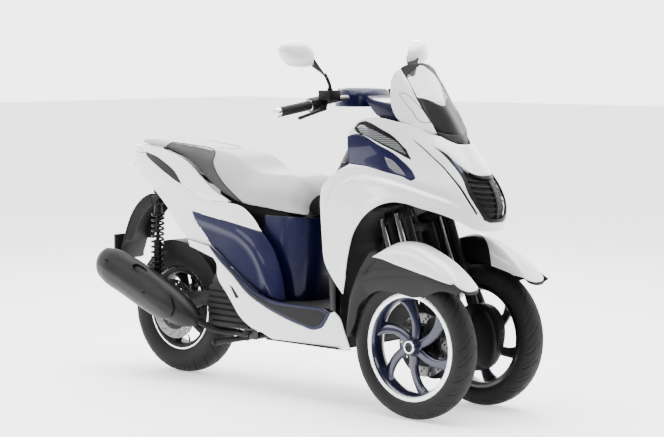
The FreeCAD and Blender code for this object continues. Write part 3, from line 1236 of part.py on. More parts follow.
PIECES = {
    "front_cowl": cowl_panel, "lamp_lenses": lenses, "cowl_inserts": inserts, "windscreen": screen,
    "screen_wings": wings, "nose_grille": black_trim, "inner_shield": shield, "dash_panel": dash,
    "meter_panel": meter_panel, "wheel_house": lining,
    "frame": frame, "link_arms": link_arms, "fork_leg_right": plates["right"], "fork_leg_left": plates["left"],
    "front_fender_right": fenders["right"], "front_fender_left": fenders["left"],
    "fender_liner_right": liners["right"], "fender_liner_left": liners["left"],
    "caliper_right": calipers["right"], "caliper_left": calipers["left"],
    "tail_cowl": tail_cowl, "tail_lamp": tail_lamp, "grab_rail": grab_rail, "side_panels": side_panels,
    "seat_pedestal": pedestal, "floor_board": floor_board, "side_skirts": side_skirts,
    "floor_edges": floor_edges, "belly_pan": belly,
    "seat_cushion": cushion, "seat_pads": pads, "seat_pan": seat_pan, "engine": engine, "fan_shroud": shroud,
    "muffler": muffler, "rear_shocks": shocks, "hugger": hugger, "rear_fender": rear_fender,
    "controls": controls, "bar_cover": bar_cover, "mirror_stems": mirror_stems, "mirror_shells": mirror_shells,
    "mirror_glasses": mirror_glasses,
}
pieces = [node(label, shape) for label, shape in PIECES.items()] + wheel_bodies
pieces += [storage_box, centre_stand, handlebar, grips, steering_stem]
doc.recompute()
faulty = [item.Label for item in doc.Objects if "Invalid" in item.State or "Error" in item.State]
faulty += [piece.Label for piece in pieces if piece.Shape.isNull() or not piece.Shape.isValid()
           or not piece.Shape.Solids]
if faulty:
    raise RuntimeError("Faulty pieces: " + ", ".join(faulty))

os.makedirs("parts", exist_ok=True)
for piece in pieces:
    piece.Shape.exportStep(f"parts/{piece.Label}.step")
    print(piece.Label, len(piece.Shape.Solids), [round(solid.Volume) for solid in piece.Shape.Solids][:4])
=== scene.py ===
# %% [markdown]
# # A leaning three-wheeled scooter
# The machine is dressed around a frame of solids that carries its joints. Every piece is in metres, with X
# forward, Y to the rider's left and Z up, so a piece goes exactly where its solid is.

# %% Load the frame
import json
import math
from contextlib import contextmanager

import bmesh
import bpy
import numpy as np
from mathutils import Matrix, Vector
from mathutils.bvhtree import BVHTree
from mathutils.geometry import delaunay_2d_cdt


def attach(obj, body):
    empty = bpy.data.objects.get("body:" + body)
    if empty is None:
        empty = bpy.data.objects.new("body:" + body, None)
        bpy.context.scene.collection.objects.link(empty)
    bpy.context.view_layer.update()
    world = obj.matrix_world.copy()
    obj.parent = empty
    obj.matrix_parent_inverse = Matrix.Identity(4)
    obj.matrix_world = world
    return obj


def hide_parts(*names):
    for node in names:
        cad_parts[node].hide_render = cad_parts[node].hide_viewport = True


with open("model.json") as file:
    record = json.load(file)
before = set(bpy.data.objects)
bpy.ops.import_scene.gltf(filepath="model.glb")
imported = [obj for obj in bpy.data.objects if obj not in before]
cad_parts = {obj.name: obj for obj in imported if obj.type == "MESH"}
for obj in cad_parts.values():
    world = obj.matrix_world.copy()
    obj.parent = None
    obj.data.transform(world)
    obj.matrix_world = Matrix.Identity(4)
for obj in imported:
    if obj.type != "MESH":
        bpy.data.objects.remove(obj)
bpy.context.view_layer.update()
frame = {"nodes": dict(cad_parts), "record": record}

# %% [markdown]
# ## Camera
# A studio shot from the front right, taken from far away with a long lens, so lines stay almost parallel. The
# lens, the place and the direction were worked out from the three tyres, because their real sizes are known.

# %% Camera
AZIMUTH, ELEVATION = math.radians(42.059), math.radians(4.951)
LENS_MM, FARTHEST_SEEN = 108.8, 60.0
CAMERA_PLACE = (5.00348, -5.38402, 1.26948)
towards = Vector((math.sin(AZIMUTH) * math.cos(ELEVATION), -math.cos(AZIMUTH) * math.cos(ELEVATION),
                  math.sin(ELEVATION)))
camera_data = bpy.data.cameras.new("studio_camera")
camera_data.lens, camera_data.clip_end = LENS_MM, FARTHEST_SEEN
camera = bpy.data.objects.new("studio_camera", camera_data)
camera.location = CAMERA_PLACE
camera.rotation_mode = "QUATERNION"
camera.rotation_quaternion = (-towards).to_track_quat("-Z", "Y")
bpy.context.scene.collection.objects.link(camera)
bpy.context.scene.camera = camera
print("camera at", [round(v, 2) for v in camera.location])

# %% [markdown]
# ## Lamps and sky
# Large soft lamps give the long highlights that glossy panels need. The sky is bright behind the machine and dim
# on the other side: a dark side to reflect is what makes black and navy look deep.


# %% Lamps and sky
def soft_lamp(name, place, aim, size, power):
    """Rectangular studio lamp that looks at a point."""
    lamp = bpy.data.lights.new(name, "AREA")
    lamp.shape = "RECTANGLE"
    lamp.size, lamp.size_y = size
    lamp.energy = power
    holder = bpy.data.objects.new(name, lamp)
    holder.location = place
    holder.rotation_mode = "QUATERNION"
    holder.rotation_quaternion = (Vector(aim) - Vector(place)).to_track_quat("-Z", "Y")
    bpy.context.scene.collection.objects.link(holder)


MIDDLE = (0.0, 0.0, 0.6)
BRIGHT_SIDE, DIM, BRIGHT = (-0.66, 0.75, 0.35), 0.16, 4.4
soft_lamp("top_box", (0.2, -0.2, 4.2), (0.0, 0.0, 0.3), (4.6, 3.2), 430)
soft_lamp("side_box", (-2.6, -4.4, 2.8), MIDDLE, (2.6, 1.6), 110)
soft_lamp("front_box", (5.0, -1.6, 3.0), MIDDLE, (1.6, 2.0), 70)
soft_lamp("rear_rim", (-3.0, 3.2, 2.6), MIDDLE, (2.5, 1.5), 120)
world = bpy.data.worlds.new("studio")
world.use_nodes = True
sky = world.node_tree
direction = sky.nodes.new("ShaderNodeTexCoord")
facing = sky.nodes.new("ShaderNodeVectorMath")
facing.operation = "DOT_PRODUCT"
facing.inputs[1].default_value = BRIGHT_SIDE
glow = sky.nodes.new("ShaderNodeMapRange")
for socket, amount in (("From Min", -0.25), ("From Max", 0.75), ("To Min", DIM), ("To Max", BRIGHT)):
    glow.inputs[socket].default_value = amount
sky.links.new(direction.outputs["Generated"], facing.inputs[0])
sky.links.new(facing.outputs["Value"], glow.inputs["Value"])
sky.links.new(glow.outputs["Result"], sky.nodes["Background"].inputs["Strength"])
sky.nodes["Background"].inputs["Color"].default_value = (1.0, 1.0, 1.0, 1.0)
bpy.context.scene.world = world

# %% [markdown]
# ## Shader maths
# A material is easier to read as a formula than as a web of wires. One small class wraps a shader socket so that
# plus, minus and times add the Math nodes by themselves.


# %% Sockets that can be added and multiplied
class Signal:
    """One shader output that ordinary arithmetic can use."""

    def __init__(self, tree, socket):
        self.tree, self.socket = tree, socket

    def math(self, operation, *values):
        """Math node over the given values, or over this signal alone."""
        node = self.tree.nodes.new("ShaderNodeMath")
        node.operation = operation
        for slot, item in zip(node.inputs, values or (self,)):
            feed(self.tree, slot, item)
        return Signal(self.tree, node.outputs[0])

    def __add__(self, other):
        return self.math("ADD", self, other)

    def __mul__(self, other):
        return self.math("MULTIPLY", self, other)

    def __sub__(self, other):
        return self.math("SUBTRACT", self, other)

    def clamped(self):
        """Held between 0 and 1."""
        node = self.tree.nodes.new("ShaderNodeClamp")
        feed(self.tree, node.inputs[0], self)
        return Signal(self.tree, node.outputs[0])


def feed(tree, slot, item):
    """Sets a socket to a number or colour, or links a signal to it."""
    if isinstance(item, Signal):
        tree.links.new(item.socket, slot)
    elif isinstance(item, (tuple, list)) and len(item) == 3 and slot.type == "RGBA":
        slot.default_value = (*item, 1.0)
    else:
        slot.default_value = item


class Finish:
    """Material under construction: one Principled shader and what feeds it."""

    def __init__(self, name, **constants):
        self.material = bpy.data.materials.new(name)
        self.material.use_nodes = True
        self.tree = self.material.node_tree
        self.shader = self.tree.nodes["Principled BSDF"]
        for socket, amount in constants.items():
            self.set(socket.replace("_", " "), amount)

    def set(self, socket, item):
        """Sets or feeds one socket of the shader."""
        feed(self.tree, self.shader.inputs[socket], item)
        return self

    def node(self, kind, output=0, **sockets):
        """Adds a node with the values or links of its sockets."""
        made = self.tree.nodes.new("ShaderNode" + kind)
        for name, item in sockets.items():
            feed(self.tree, made.inputs[name], item)
        return Signal(self.tree, made.outputs[output])

    def place(self):
        """Object coordinates: metres from the middle of the machine."""
        return self.node("TexCoord", output="Object")

    def noise(self, scale, detail=2.0, at=None):
        """Soft clouds; a larger scale makes them smaller."""
        return self.node("TexNoise", Vector=at or self.place(), Scale=scale, Detail=detail)

    def cells(self, scale):
        """Voronoi cells, dark in their middles."""
        return self.node("TexVoronoi", Vector=self.place(), Scale=scale)

    def axis(self, letter):
        """One coordinate of the place."""
        return self.node("SeparateXYZ", output=letter, Vector=self.place())

    def mix(self, share, low, high):
        """Blend of two colours by a share. The Mix node has sockets for every kind; 6, 7 and output 2 are colours."""
        made = self.tree.nodes.new("ShaderNodeMix")
        made.data_type = "RGBA"
        for slot, item in ((0, share), (6, low), (7, high)):
            feed(self.tree, made.inputs[slot], item)
        return Signal(self.tree, made.outputs[2])

    def toned(self, share, low, high):
        """Base colour between two tones; a number stands for noise of that scale."""
        share = share if isinstance(share, Signal) else self.noise(share)
        return self.set("Base Color", self.mix(share, low, high))

    def bump(self, height, strength, depth):
        """Tilts the surface as if it had this height; depth is in metres."""
        return self.set("Normal", self.node("Bump", Strength=strength, Distance=depth, Height=height))


print("shader helpers ready")

# %% [markdown]
# ## Paints
# Painted panels are a coloured base under clear lacquer, which shows as a sharp coat over a softer layer, with a
# faint ripple from the spray gun. The dark blue has metal flakes that change its tone from spot to spot. The cast
# front wheels are blue on their outboard half and near black on their inboard half, so their tone goes by the
# distance from the centre plane.

# %% Paints
white_paint = Finish("pearl_white", Coat_Weight=1.0, Coat_Roughness=0.04, Roughness=0.34, IOR=1.5)
white_paint.toned(3.0, (0.72, 0.725, 0.735), (0.77, 0.775, 0.78)).bump(white_paint.noise(260.0, 1.0), 0.02, 0.0004)
blue_paint = Finish("night_blue", Coat_Weight=0.35, Coat_Roughness=0.03, Coat_IOR=1.35, Roughness=0.36,
                    Metallic=0.2, Specular_IOR_Level=0.2)
blue_paint.toned((blue_paint.cells(2600.0) * 1.4).clamped(), (0.0008, 0.0010, 0.010), (0.0022, 0.0028, 0.032))
blue_paint.bump(blue_paint.noise(260.0, 1.0), 0.02, 0.0004)
wheel_paint = Finish("wheel_blue_dark_inboard", Coat_Weight=0.8, Coat_Roughness=0.06, Metallic=0.45, Roughness=0.34)
INNER_EDGE = 0.180
outer_side = ((wheel_paint.axis("Y").math("ABSOLUTE") - INNER_EDGE) * 400.0).clamped()
wheel_paint.toned(outer_side, (0.006, 0.006, 0.007),
                  wheel_paint.mix(wheel_paint.cells(2200.0), (0.0018, 0.0022, 0.014), (0.004, 0.005, 0.036)))
wheel_paint.bump(wheel_paint.noise(420.0, 2.0), 0.05, 0.0005)
print("paints", white_paint.material.name, blue_paint.material.name, wheel_paint.material.name)

# %% [markdown]
# ## Plastics, rubber and vinyl
# Moulded black plastic has a fine leathery grain, and cast metal a sandy one. Voronoi cells make both, as a bump
# and as painted shade that darkens their hollows a little, with soft clouds over them so that no surface is evenly
# dull.


# %% Plastics, rubber and vinyl
def grained(name, tone, roughness, scale=900.0, strength=0.25, contrast=0.35, specular=0.16, metallic=0.0):
    """Moulded plastic or vinyl: small cells pressed into the surface, with painted shade that darkens their hollows a
    little.
    """
    finish = Finish(name, Specular_IOR_Level=specular, Metallic=metallic)
    grain, cloud = finish.cells(scale), finish.noise(14.0, 3.0)
    low = tuple(channel * (1.0 - contrast) for channel in tone)
    # Painted shade: the tone is darker in the hollows of the grain, and the clouds vary it at random.
    finish.toned((cloud * 0.6 + grain * 0.5).clamped(), low, tone)
    finish.set("Roughness", (cloud * 0.16 + (roughness - 0.08)).clamped())
    return finish.bump(grain, strength, 0.0006)


black_plastic = grained("grained_black", (0.009, 0.009, 0.010), 0.55)
satin_plastic = grained("satin_black", (0.006, 0.006, 0.007), 0.42, 1500.0, 0.10)
gloss_black = grained("gloss_black", (0.003, 0.003, 0.0035), 0.20, 1500.0, 0.02)
liner_plastic = grained("liner_grey", (0.013, 0.013, 0.014), 0.46, 700.0, 0.16)
seat_vinyl = grained("pale_vinyl", (0.34, 0.34, 0.345), 0.52, 1100.0, 0.22, 0.08, 0.5)
pad_vinyl = grained("charcoal_vinyl", (0.042, 0.041, 0.040), 0.60, 1000.0, 0.30, 0.2)
black_vinyl = grained("black_vinyl", (0.010, 0.010, 0.010), 0.55, 1000.0, 0.30, 0.25)
grip_rubber = grained("grip_rubber", (0.016, 0.016, 0.017), 0.62, 1300.0, 0.3)
tyre_rubber = grained("tyre_rubber", (0.012, 0.012, 0.0125), 0.62, 800.0, 0.16, 0.3)
frame_paint = grained("satin_frame", (0.006, 0.006, 0.007), 0.40, 500.0, 0.06)
cast_black = grained("cast_black", (0.006, 0.006, 0.0065), 0.46, 700.0, 0.28)
cast_grey = grained("cast_grey", (0.03, 0.03, 0.031), 0.50, 650.0, 0.3, 0.35, 0.5, 0.5)
muffler_black = grained("muffler_black", (0.008, 0.008, 0.0085), 0.42, 900.0, 0.14)
print("plastics ready")

# %% [markdown]
# ## Metals
# Machined and drawn metal carries fine lines. Noise that is stretched along one axis gives them, in the tone, the
# roughness and the bump at once.


# %% Metals
def brushed(name, tone, roughness, scale=(40.0, 900.0, 900.0), strength=0.08):
    """Machined metal: fine lines drawn out along one axis."""
    finish = Finish(name, Metallic=1.0)
    lines = finish.noise(1.0, 3.0, finish.node("Mapping", Vector=finish.place(), Scale=scale))
    finish.toned(lines, tuple(channel * 0.82 for channel in tone), tone)
    finish.set("Roughness", (lines * 0.14 + (roughness - 0.07)).clamped())
    return finish.bump(lines, strength, 0.0003)


bright_lip = brushed("machined_lip", (0.80, 0.81, 0.83), 0.20, (700.0, 60.0, 700.0))
disc_steel = brushed("disc_steel", (0.16, 0.16, 0.165), 0.34, (500.0, 500.0, 500.0))
fork_chrome = brushed("fork_chrome", (0.55, 0.56, 0.58), 0.14, (60.0, 60.0, 900.0), 0.02)
bar_steel = brushed("bar_steel", (0.20, 0.20, 0.21), 0.32)
mirror_silver = Finish("mirror_silver", Metallic=1.0, Roughness=0.03)
mirror_silver.toned(5.0, (0.72, 0.74, 0.76), (0.78, 0.8, 0.82))
arm_silver = Finish("arm_silver", Roughness=0.2, Metallic=0.6).toned(40.0, (0.10, 0.10, 0.16), (0.16, 0.17, 0.24))
print("metals ready")

# %% [markdown]
# ## Clear parts and floor
# The screen is tinted more densely near its foot, so its alpha goes by the height. Lamp lenses are ribbed and the
# tail lamp is faceted inside, which a bump shows well enough at this size. The floor is a pale sheet that glows a
# little under the machine, and is darker far in front, so that glossy flanks have something dark to reflect.

# %% Clear parts and floor
screen_clear = Finish("smoked_screen", Roughness=0.05, Coat_Weight=1.0, Coat_Roughness=0.02, IOR=1.49)
TINT_TOP, TINT_FADE = 1.02, 0.04
above_tint = ((screen_clear.axis("Z") - TINT_TOP) * (1.0 / TINT_FADE)).clamped()
screen_clear.set("Alpha", above_tint * (0.30 - 0.80) + 0.80)
screen_clear.toned(above_tint, (0.006, 0.006, 0.008), (0.10, 0.11, 0.12))
lamp_clear = Finish("lamp_lens", Roughness=0.06, Coat_Weight=1.0, Coat_Roughness=0.02)
ribs = (lamp_clear.axis("Z") * 900.0).math("SINE") * 0.5 + 0.5
lamp_clear.toned(ribs, (0.05, 0.052, 0.055), (0.17, 0.175, 0.18)).bump(ribs, 0.25, 0.0008)
tail_red = Finish("tail_red", Roughness=0.08, Coat_Weight=1.0)
facets = tail_red.cells(160.0)
tail_red.toned(facets, (0.25, 0.004, 0.006), (0.42, 0.01, 0.012)).bump(facets, 0.4, 0.002)
smoky_window = Finish("smoky_window", Roughness=0.08, Coat_Weight=1.0)
smoky_window.toned(30.0, (0.09, 0.095, 0.105), (0.16, 0.165, 0.18))
studio_floor = Finish("studio_floor", Roughness=0.9, Specular_IOR_Level=0.1, Emission_Strength=1.0)
far_front = ((studio_floor.axis("X") * 0.66 - studio_floor.axis("Y") * 0.75 - 1.9) * 0.7).clamped()
pale = studio_floor.mix(studio_floor.noise(0.7), (0.90, 0.90, 0.90), (0.93, 0.93, 0.93))
studio_floor.toned(far_front, pale, (0.16, 0.16, 0.165))
studio_floor.set("Emission Color", studio_floor.mix(far_front, (0.80, 0.80, 0.80), (0.0, 0.0, 0.0)))
bpy.ops.object.select_all(action="DESELECT")
bpy.ops.mesh.primitive_plane_add(size=60.0, location=(0.0, 0.0, 0.0))
floor = bpy.context.object
floor.name = "studio_floor"
floor.data.materials.append(studio_floor.material)
print("clear parts and floor ready")

# %% [markdown]
# ## How a piece is finished
# Every piece gets a material and a body to ride on. Edges get a small round, because
# no real edge is sharp, and faces that meet at a small angle are shaded as one curve.

# %% Finish, edge and shading helpers
BODY_OF = {name: body for body, names in frame["record"]["behaviour"]["bodies"].items() for name in names}
SLOT_OF = {item["node"]: item["material_slot"] for item in frame["record"]["subparts"]}
MM = 0.001
FRONT_AXLE = 694.5


def real(x, y, z):
    """Metres in the machine's frame from millimetres counted from the front axle."""
    return Vector(((x + FRONT_AXLE) * MM, y * MM, z * MM))


def pick(*pieces):
    """Selects these pieces alone; the first is the active one."""
    bpy.ops.object.select_all(action="DESELECT")
    for piece in pieces:
        piece.select_set(True)
    bpy.context.view_layer.objects.active = pieces[0]


def edge_round(piece, width, segments, angle):
    """Small round on every edge sharper than an angle."""
    if width:
        bevel = piece.modifiers.new("edge_round", "BEVEL")
        bevel.width, bevel.segments = width, segments
        bevel.limit_method, bevel.angle_limit = "ANGLE", math.radians(angle)


def wall_inwards(piece, thickness):
    """Wall that grows inwards from a sheet."""
    shell = piece.modifiers.new("wall", "SOLIDIFY")
    shell.thickness, shell.offset = thickness, -1.0


def apply_all(piece):
    """Applies every modifier on a piece."""
    pick(piece)
    for modifier in list(piece.modifiers):
        bpy.ops.object.modifier_apply(modifier=modifier.name)


def finish_piece(piece, body, slot, finish, *nodes):
    """Gives a piece its finish, and lets it ride on its body in place of its solids; slot is not used."""
    piece.data.materials.clear()
    piece.data.materials.append(finish.material)
    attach(piece, body)
    if nodes:
        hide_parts(*nodes)
    return piece


def smooth(piece, angle):
    """Shades faces that meet under an angle as one curve."""
    pick(piece)
    bpy.ops.object.shade_smooth_by_angle(angle=math.radians(angle))
    return piece


def shaded(piece, angle, *paint):
    """Smooth up to an angle, and finished; paint is body, slot, finish and nodes."""
    return finish_piece(smooth(piece, angle), *paint)


def placed(name, mesh):
    """New object in the scene that shows a mesh."""
    piece = bpy.data.objects.new(name, mesh)
    bpy.context.scene.collection.objects.link(piece)
    return piece


@contextmanager
def open_mesh(piece):
    """The mesh of a piece, open for changes in code."""
    sheet = bmesh.new()
    sheet.from_mesh(piece.data)
    yield sheet
    sheet.to_mesh(piece.data)
    sheet.free()


def new_piece(name, points, faces):
    """New object from millimetre points counted from the front axle."""
    mesh = bpy.data.meshes.new(name)
    mesh.from_pydata([real(*point) for point in points], [], [tuple(int(i) for i in face) for face in faces])
    return placed(name, mesh)


SATIN = ("body", "black_plastic", satin_plastic)
GRAINY = ("body", "black_plastic", black_plastic)
WHITE = ("body", "white_paint", white_paint)
BLUE = ("body", "blue_paint", blue_paint)

# %% [markdown]
# ## Lines and outlines
# Panel edges are smooth curves that meet at corners. They are written as points across,up in millimetres, and a
# bar marks each corner. A cubic curve runs through the points, as a draughtsman's spline does.


# %% Smooth lines and closed outlines
def unit(vectors):
    """The same directions with length one; a zero stays zero."""
    vectors = np.asarray(vectors, float)
    length = np.linalg.norm(vectors, axis=-1, keepdims=True)
    return vectors / np.where(length == 0, 1.0, length)


def points_of(text):
    """Points from text such as 12,30 14,32."""
    return [tuple(float(v) for v in pair.split(",")) for pair in text.split()]


def runs_of(text):
    """Runs of an outline: lists of points, split at each bar."""
    return [points_of(run) for run in text.split("|")]


def smooth_through(knots, values, wanted):
    """Cubic curve through values at knots, with slopes from the neighbours."""
    knots, values, wanted = np.asarray(knots, float), np.asarray(values, float), np.asarray(wanted, float)
    gaps = np.diff(knots)
    steps = np.diff(values, axis=0) / gaps.reshape(-1, *[1] * (values.ndim - 1))
    slopes = np.empty_like(values)
    slopes[0], slopes[-1] = steps[0], steps[-1]
    weight = (gaps[:-1] / (gaps[:-1] + gaps[1:])).reshape(-1, *[1] * (values.ndim - 1))
    slopes[1:-1] = steps[:-1] * (1 - weight) + steps[1:] * weight
    index = np.clip(np.searchsorted(knots, wanted, side="right") - 1, 0, len(gaps) - 1)
    run = gaps[index]
    t = (wanted - knots[index]) / run
    shape = (-1, *[1] * (values.ndim - 1))
    t, run = t.reshape(shape), run.reshape(shape)
    before, after = values[index], values[index + 1]
    return ((2 * t ** 3 - 3 * t ** 2 + 1) * before + (t ** 3 - 2 * t ** 2 + t) * run * slopes[index]
            + (3 * t ** 2 - 2 * t ** 3) * after + (t ** 3 - t ** 2) * run * slopes[index + 1])


def smooth_line(points, spacing=6.0):
    """Points along a smooth line through a few given ones; two points give a straight line."""
    points = np.asarray(points, float)
    knots = np.concatenate([[0.0], np.cumsum(np.linalg.norm(np.diff(points, axis=0), axis=1))])
    wanted = np.linspace(0.0, knots[-1], max(2, int(knots[-1] / spacing) + 1))
    if len(points) == 2:
        return points[0] + (points[1] - points[0]) * (wanted / knots[-1]).reshape(-1, 1)
    return smooth_through(knots, points, wanted)


def outline_of(runs, spacing=6.0):
    """Closed outline: each run is smooth, and goes on to the first point of the next one."""
    runs = runs_of(runs) if isinstance(runs, str) else runs
    ring = []
    for run, after in zip(runs, runs[1:] + runs[:1]):
        ring += [tuple(point) for point in smooth_line(list(run) + [after[0]], spacing)[:-1]]
    return ring


def half_outline(runs, spacing=6.0):
    """Half of an outline, whose closing run lies on the centre plane and keeps only its ends."""
    ring = outline_of(runs, spacing)
    ends = [height for u, height in ring if u <= 0.01]
    return [point for point in ring if point[0] > 0.01 or point[1] in (min(ends), max(ends))]


def widened(ring, amount):
    """Closed outline moved outwards, or inwards where the amount is below zero."""
    ring = np.asarray(ring, float)
    ahead, behind = np.roll(ring, -1, axis=0), np.roll(ring, 1, axis=0)
    area = np.sum(ring[:, 0] * ahead[:, 1] - ahead[:, 0] * ring[:, 1])
    run = ahead - behind
    out = unit(np.column_stack([run[:, 1], -run[:, 0]])) * (1 if area > 0 else -1)
    return [tuple(point) for point in ring + out * amount]


def flipped(ring):
    """The same outline on the other side."""
    return [(-u, z) for u, z in ring]


def whole(half):
    """Closed outline from a half outline that starts and ends on the centre plane."""
    return half + [(-u, z) for u, z in half[::-1] if u > 0.01]


def within(points, ring):
    """Which flat points lie inside one closed outline."""
    ring = np.asarray(ring, float)
    odd = np.zeros(len(points), bool)
    for start, end in zip(ring, np.roll(ring, -1, axis=0)):
        crosses = (start[1] > points[:, 1]) != (end[1] > points[:, 1])
        if crosses.any():
            at = start[0] + (points[:, 1] - start[1]) * (end[0] - start[0]) / (end[1] - start[1] or 1e-12)
            odd ^= crosses & (points[:, 0] < at)
    return odd


def inside(points, rim, holes):
    """Which flat points lie inside an outline and outside every hole."""
    keep = within(points, rim)
    for hole in holes:
        keep &= ~within(points, hole)
    return keep


def ribbon(line, width):
    """Closed outline of a strip of even width along a flat line."""
    line = smooth_line(line, 4.0)
    run = np.gradient(line, axis=0)
    side = unit(np.column_stack([-run[:, 1], run[:, 0]])) * width / 2
    return [tuple(point) for point in np.concatenate([line + side, (line - side)[::-1]])]


def distance_to(line, flat, fold=True):
    """Distance of flat points to a line and the side of it they lie on; fold joins right and left."""
    if fold:
        flat = np.column_stack([np.abs(flat[:, 0]), flat[:, 1]])
    best, side = np.full(len(flat), 1e9), np.zeros(len(flat))
    for start, end in zip(line[:-1], line[1:]):
        run = end - start
        share = np.clip(((flat - start) @ run) / (run @ run), 0.0, 1.0)
        near = start + share.reshape(-1, 1) * run
        gap = np.linalg.norm(flat - near, axis=1)
        cross = run[0] * (flat[:, 1] - near[:, 1]) - run[1] * (flat[:, 0] - near[:, 0])
        closer = gap < best
        best[closer], side[closer] = gap[closer], np.sign(cross[closer])
    return best, side


SIDES = (("right", -1, flipped), ("left", 1, list))
print("line helpers ready")

# %% [markdown]
# ## Body panels as skins
# The big painted panels are pieces of a few smooth surfaces, the way a stylist's clay is cut into mouldings. Each
# surface is a stack of level outlines. A panel is a patch cut from it by an outline, so that its neighbours line up
# with an even gap and the reflections run on from one panel to the next.


# %% A smooth surface through level outlines
class Skin:
    """Smooth surface of one body shell: u runs from the centre plane to the end of the level outlines."""

    STEPS = 160

    def __init__(self, levels):
        self.heights = np.array(list(levels), float)
        rows = []
        for half in levels.values():
            half = np.array(points_of(half))
            rows.append(np.concatenate([half[:0:-1] * (1, -1), half]))
        gaps = np.mean([np.linalg.norm(np.diff(row, axis=0), axis=1) for row in rows], axis=0)
        knots = np.concatenate([[0.0], np.cumsum(gaps)])
        self.half = knots[-1] / 2
        self.u = np.linspace(0.0, self.half, self.STEPS)
        self.table = np.array([smooth_through(knots - self.half, row, self.u) for row in rows])

    def u_of_x(self, x, height):
        """Where a side-view point lies on the surface."""
        clamped = min(max(height, self.heights[0]), self.heights[-1])
        order = smooth_through(self.heights, self.table, [clamped])[0][::-1, 0]
        sign = 1 if order[0] < order[-1] else -1
        return float(np.interp(sign * x, sign * order, self.u[::-1]))

    def outward(self, position):
        """Rough outward direction at positions on the surface."""
        return np.column_stack([(position[:, 0] + 250.0) * 0.2, position[:, 1], np.zeros(len(position))])

    def points(self, flat):
        """Positions for flat points (u, z); u below zero is the right-hand side."""
        flat = np.asarray(flat, float)
        heights = np.clip(flat[:, 1], self.heights[0], self.heights[-1])
        rows = smooth_through(self.heights, self.table, heights)
        share = np.clip(np.abs(flat[:, 0]) / self.half, 0.0, 1.0) * (self.STEPS - 1)
        low = np.minimum(share.astype(int), self.STEPS - 2)
        part = (share - low).reshape(-1, 1)
        row = np.arange(len(flat))
        xy = rows[row, low] * (1 - part) + rows[row, low + 1] * part
        xy[:, 1] *= np.where(flat[:, 0] < 0, -1, 1)
        return np.column_stack([xy, flat[:, 1]])


class SidePlate:
    """Skin of a low side panel: flat points are (x, z), and a rule gives how far out the panel lies."""

    def __init__(self, side, reach):
        self.side, self.reach = side, reach

    def points(self, flat):
        flat = np.asarray(flat, float)
        return np.column_stack([flat[:, 0], self.side * self.reach(flat[:, 0], flat[:, 1]), flat[:, 1]])

    def outward(self, position):
        return position * (0.0, 1.0, 0.0)


def from_side(skin, text):
    """Side-view points x,z as skin points (u, z)."""
    return [(skin.u_of_x(x, z), z) for x, z in points_of(text)]


def side_runs(skin, text):
    """Runs of an outline that is written in side view."""
    return [from_side(skin, run) for run in text.split("|")]


def surface_normals(skin, flat):
    """Outward directions of a skin at flat points."""
    step = 2.0
    du = skin.points(flat + (step, 0.0)) - skin.points(flat - (step, 0.0))
    dz = skin.points(flat + (0.0, step)) - skin.points(flat - (0.0, step))
    normal = unit(np.cross(du, dz))
    inwards = np.sum(normal * skin.outward(skin.points(flat)), axis=1) < 0
    return normal * np.where(inwards, -1.0, 1.0).reshape(-1, 1)


def patch(name, skin, rim, holes, spacing, relief, wall, edge):
    """Panel cut from a skin by an outline (u, z) with holes; relief lifts its points outwards.

    Spacing of the points, relief, wall and edge round are in millimetres; relief may be a rule.
    """
    rings = [np.array(ring, float) for ring in (rim, *holes)]
    edges, corners = [], np.concatenate(rings)
    for ring in rings:
        base = len(edges)
        edges += [(base + i, base + (i + 1) % len(ring)) for i in range(len(ring))]
    low, high = corners.min(axis=0), corners.max(axis=0)
    heights = np.arange(low[1] + spacing * 0.5, high[1], spacing * 0.87)
    lattice = np.array([(u, height) for row, height in enumerate(heights)
                        for u in np.arange(low[0] + (spacing * 0.5 if row % 2 else 0.0), high[0], spacing)])
    lattice = lattice.reshape(-1, 2)
    if len(lattice):
        gap = np.concatenate([np.linalg.norm(part[:, None, :] - corners[None, :, :], axis=2).min(axis=1)
                              for part in np.array_split(lattice, len(lattice) // 400 + 1)])
        lattice = lattice[(gap > spacing * 0.45) & inside(lattice, rim, holes)]
    points = [Vector(point) for point in np.concatenate([corners, lattice])]
    verts, _, tris, *_ = delaunay_2d_cdt(points, edges, [], 0, 0.0001)
    flat, tris = np.array([tuple(v) for v in verts]), np.array(tris)
    tris = tris[inside(flat[tris].mean(axis=1), rim, holes)]
    solid = skin.points(flat)
    normals = surface_normals(skin, flat)
    if relief:
        solid = solid + normals * np.reshape(relief(flat) if callable(relief) else relief, (-1, 1))
    piece = new_piece(name, solid, tris)
    first = tris[0]
    facing = np.cross(solid[first[1]] - solid[first[0]], solid[first[2]] - solid[first[0]])
    with open_mesh(piece) as sheet:
        bmesh.ops.delete(sheet, geom=[v for v in sheet.verts if not v.link_faces], context="VERTS")
        if facing @ normals[first[0]] < 0:
            bmesh.ops.reverse_faces(sheet, faces=sheet.faces)
    if wall:
        wall_inwards(piece, wall * MM)
    edge_round(piece, edge * MM, 2, 50.0)
    apply_all(piece)
    return smooth(piece, 42.0)


def panel(name, skin, rim, holes, spacing, relief, wall, edge, *paint):
    """Patch with its finish; paint is body, slot, finish and nodes."""
    return finish_piece(patch(name, skin, rim, holes, spacing, relief, wall, edge), *paint)


print("skins ready")

# %% [markdown]
# ## Front cowl
# The front body is one painted shell with a lamp, a dark blue insert, a thin slot and the nose grille let into it.
# A ridge runs over the wheel arch like a raised eyebrow, with a hollow band above it, and the arch has a rolled
# lip. Both are lifts of the surface that fade with the distance from a line.

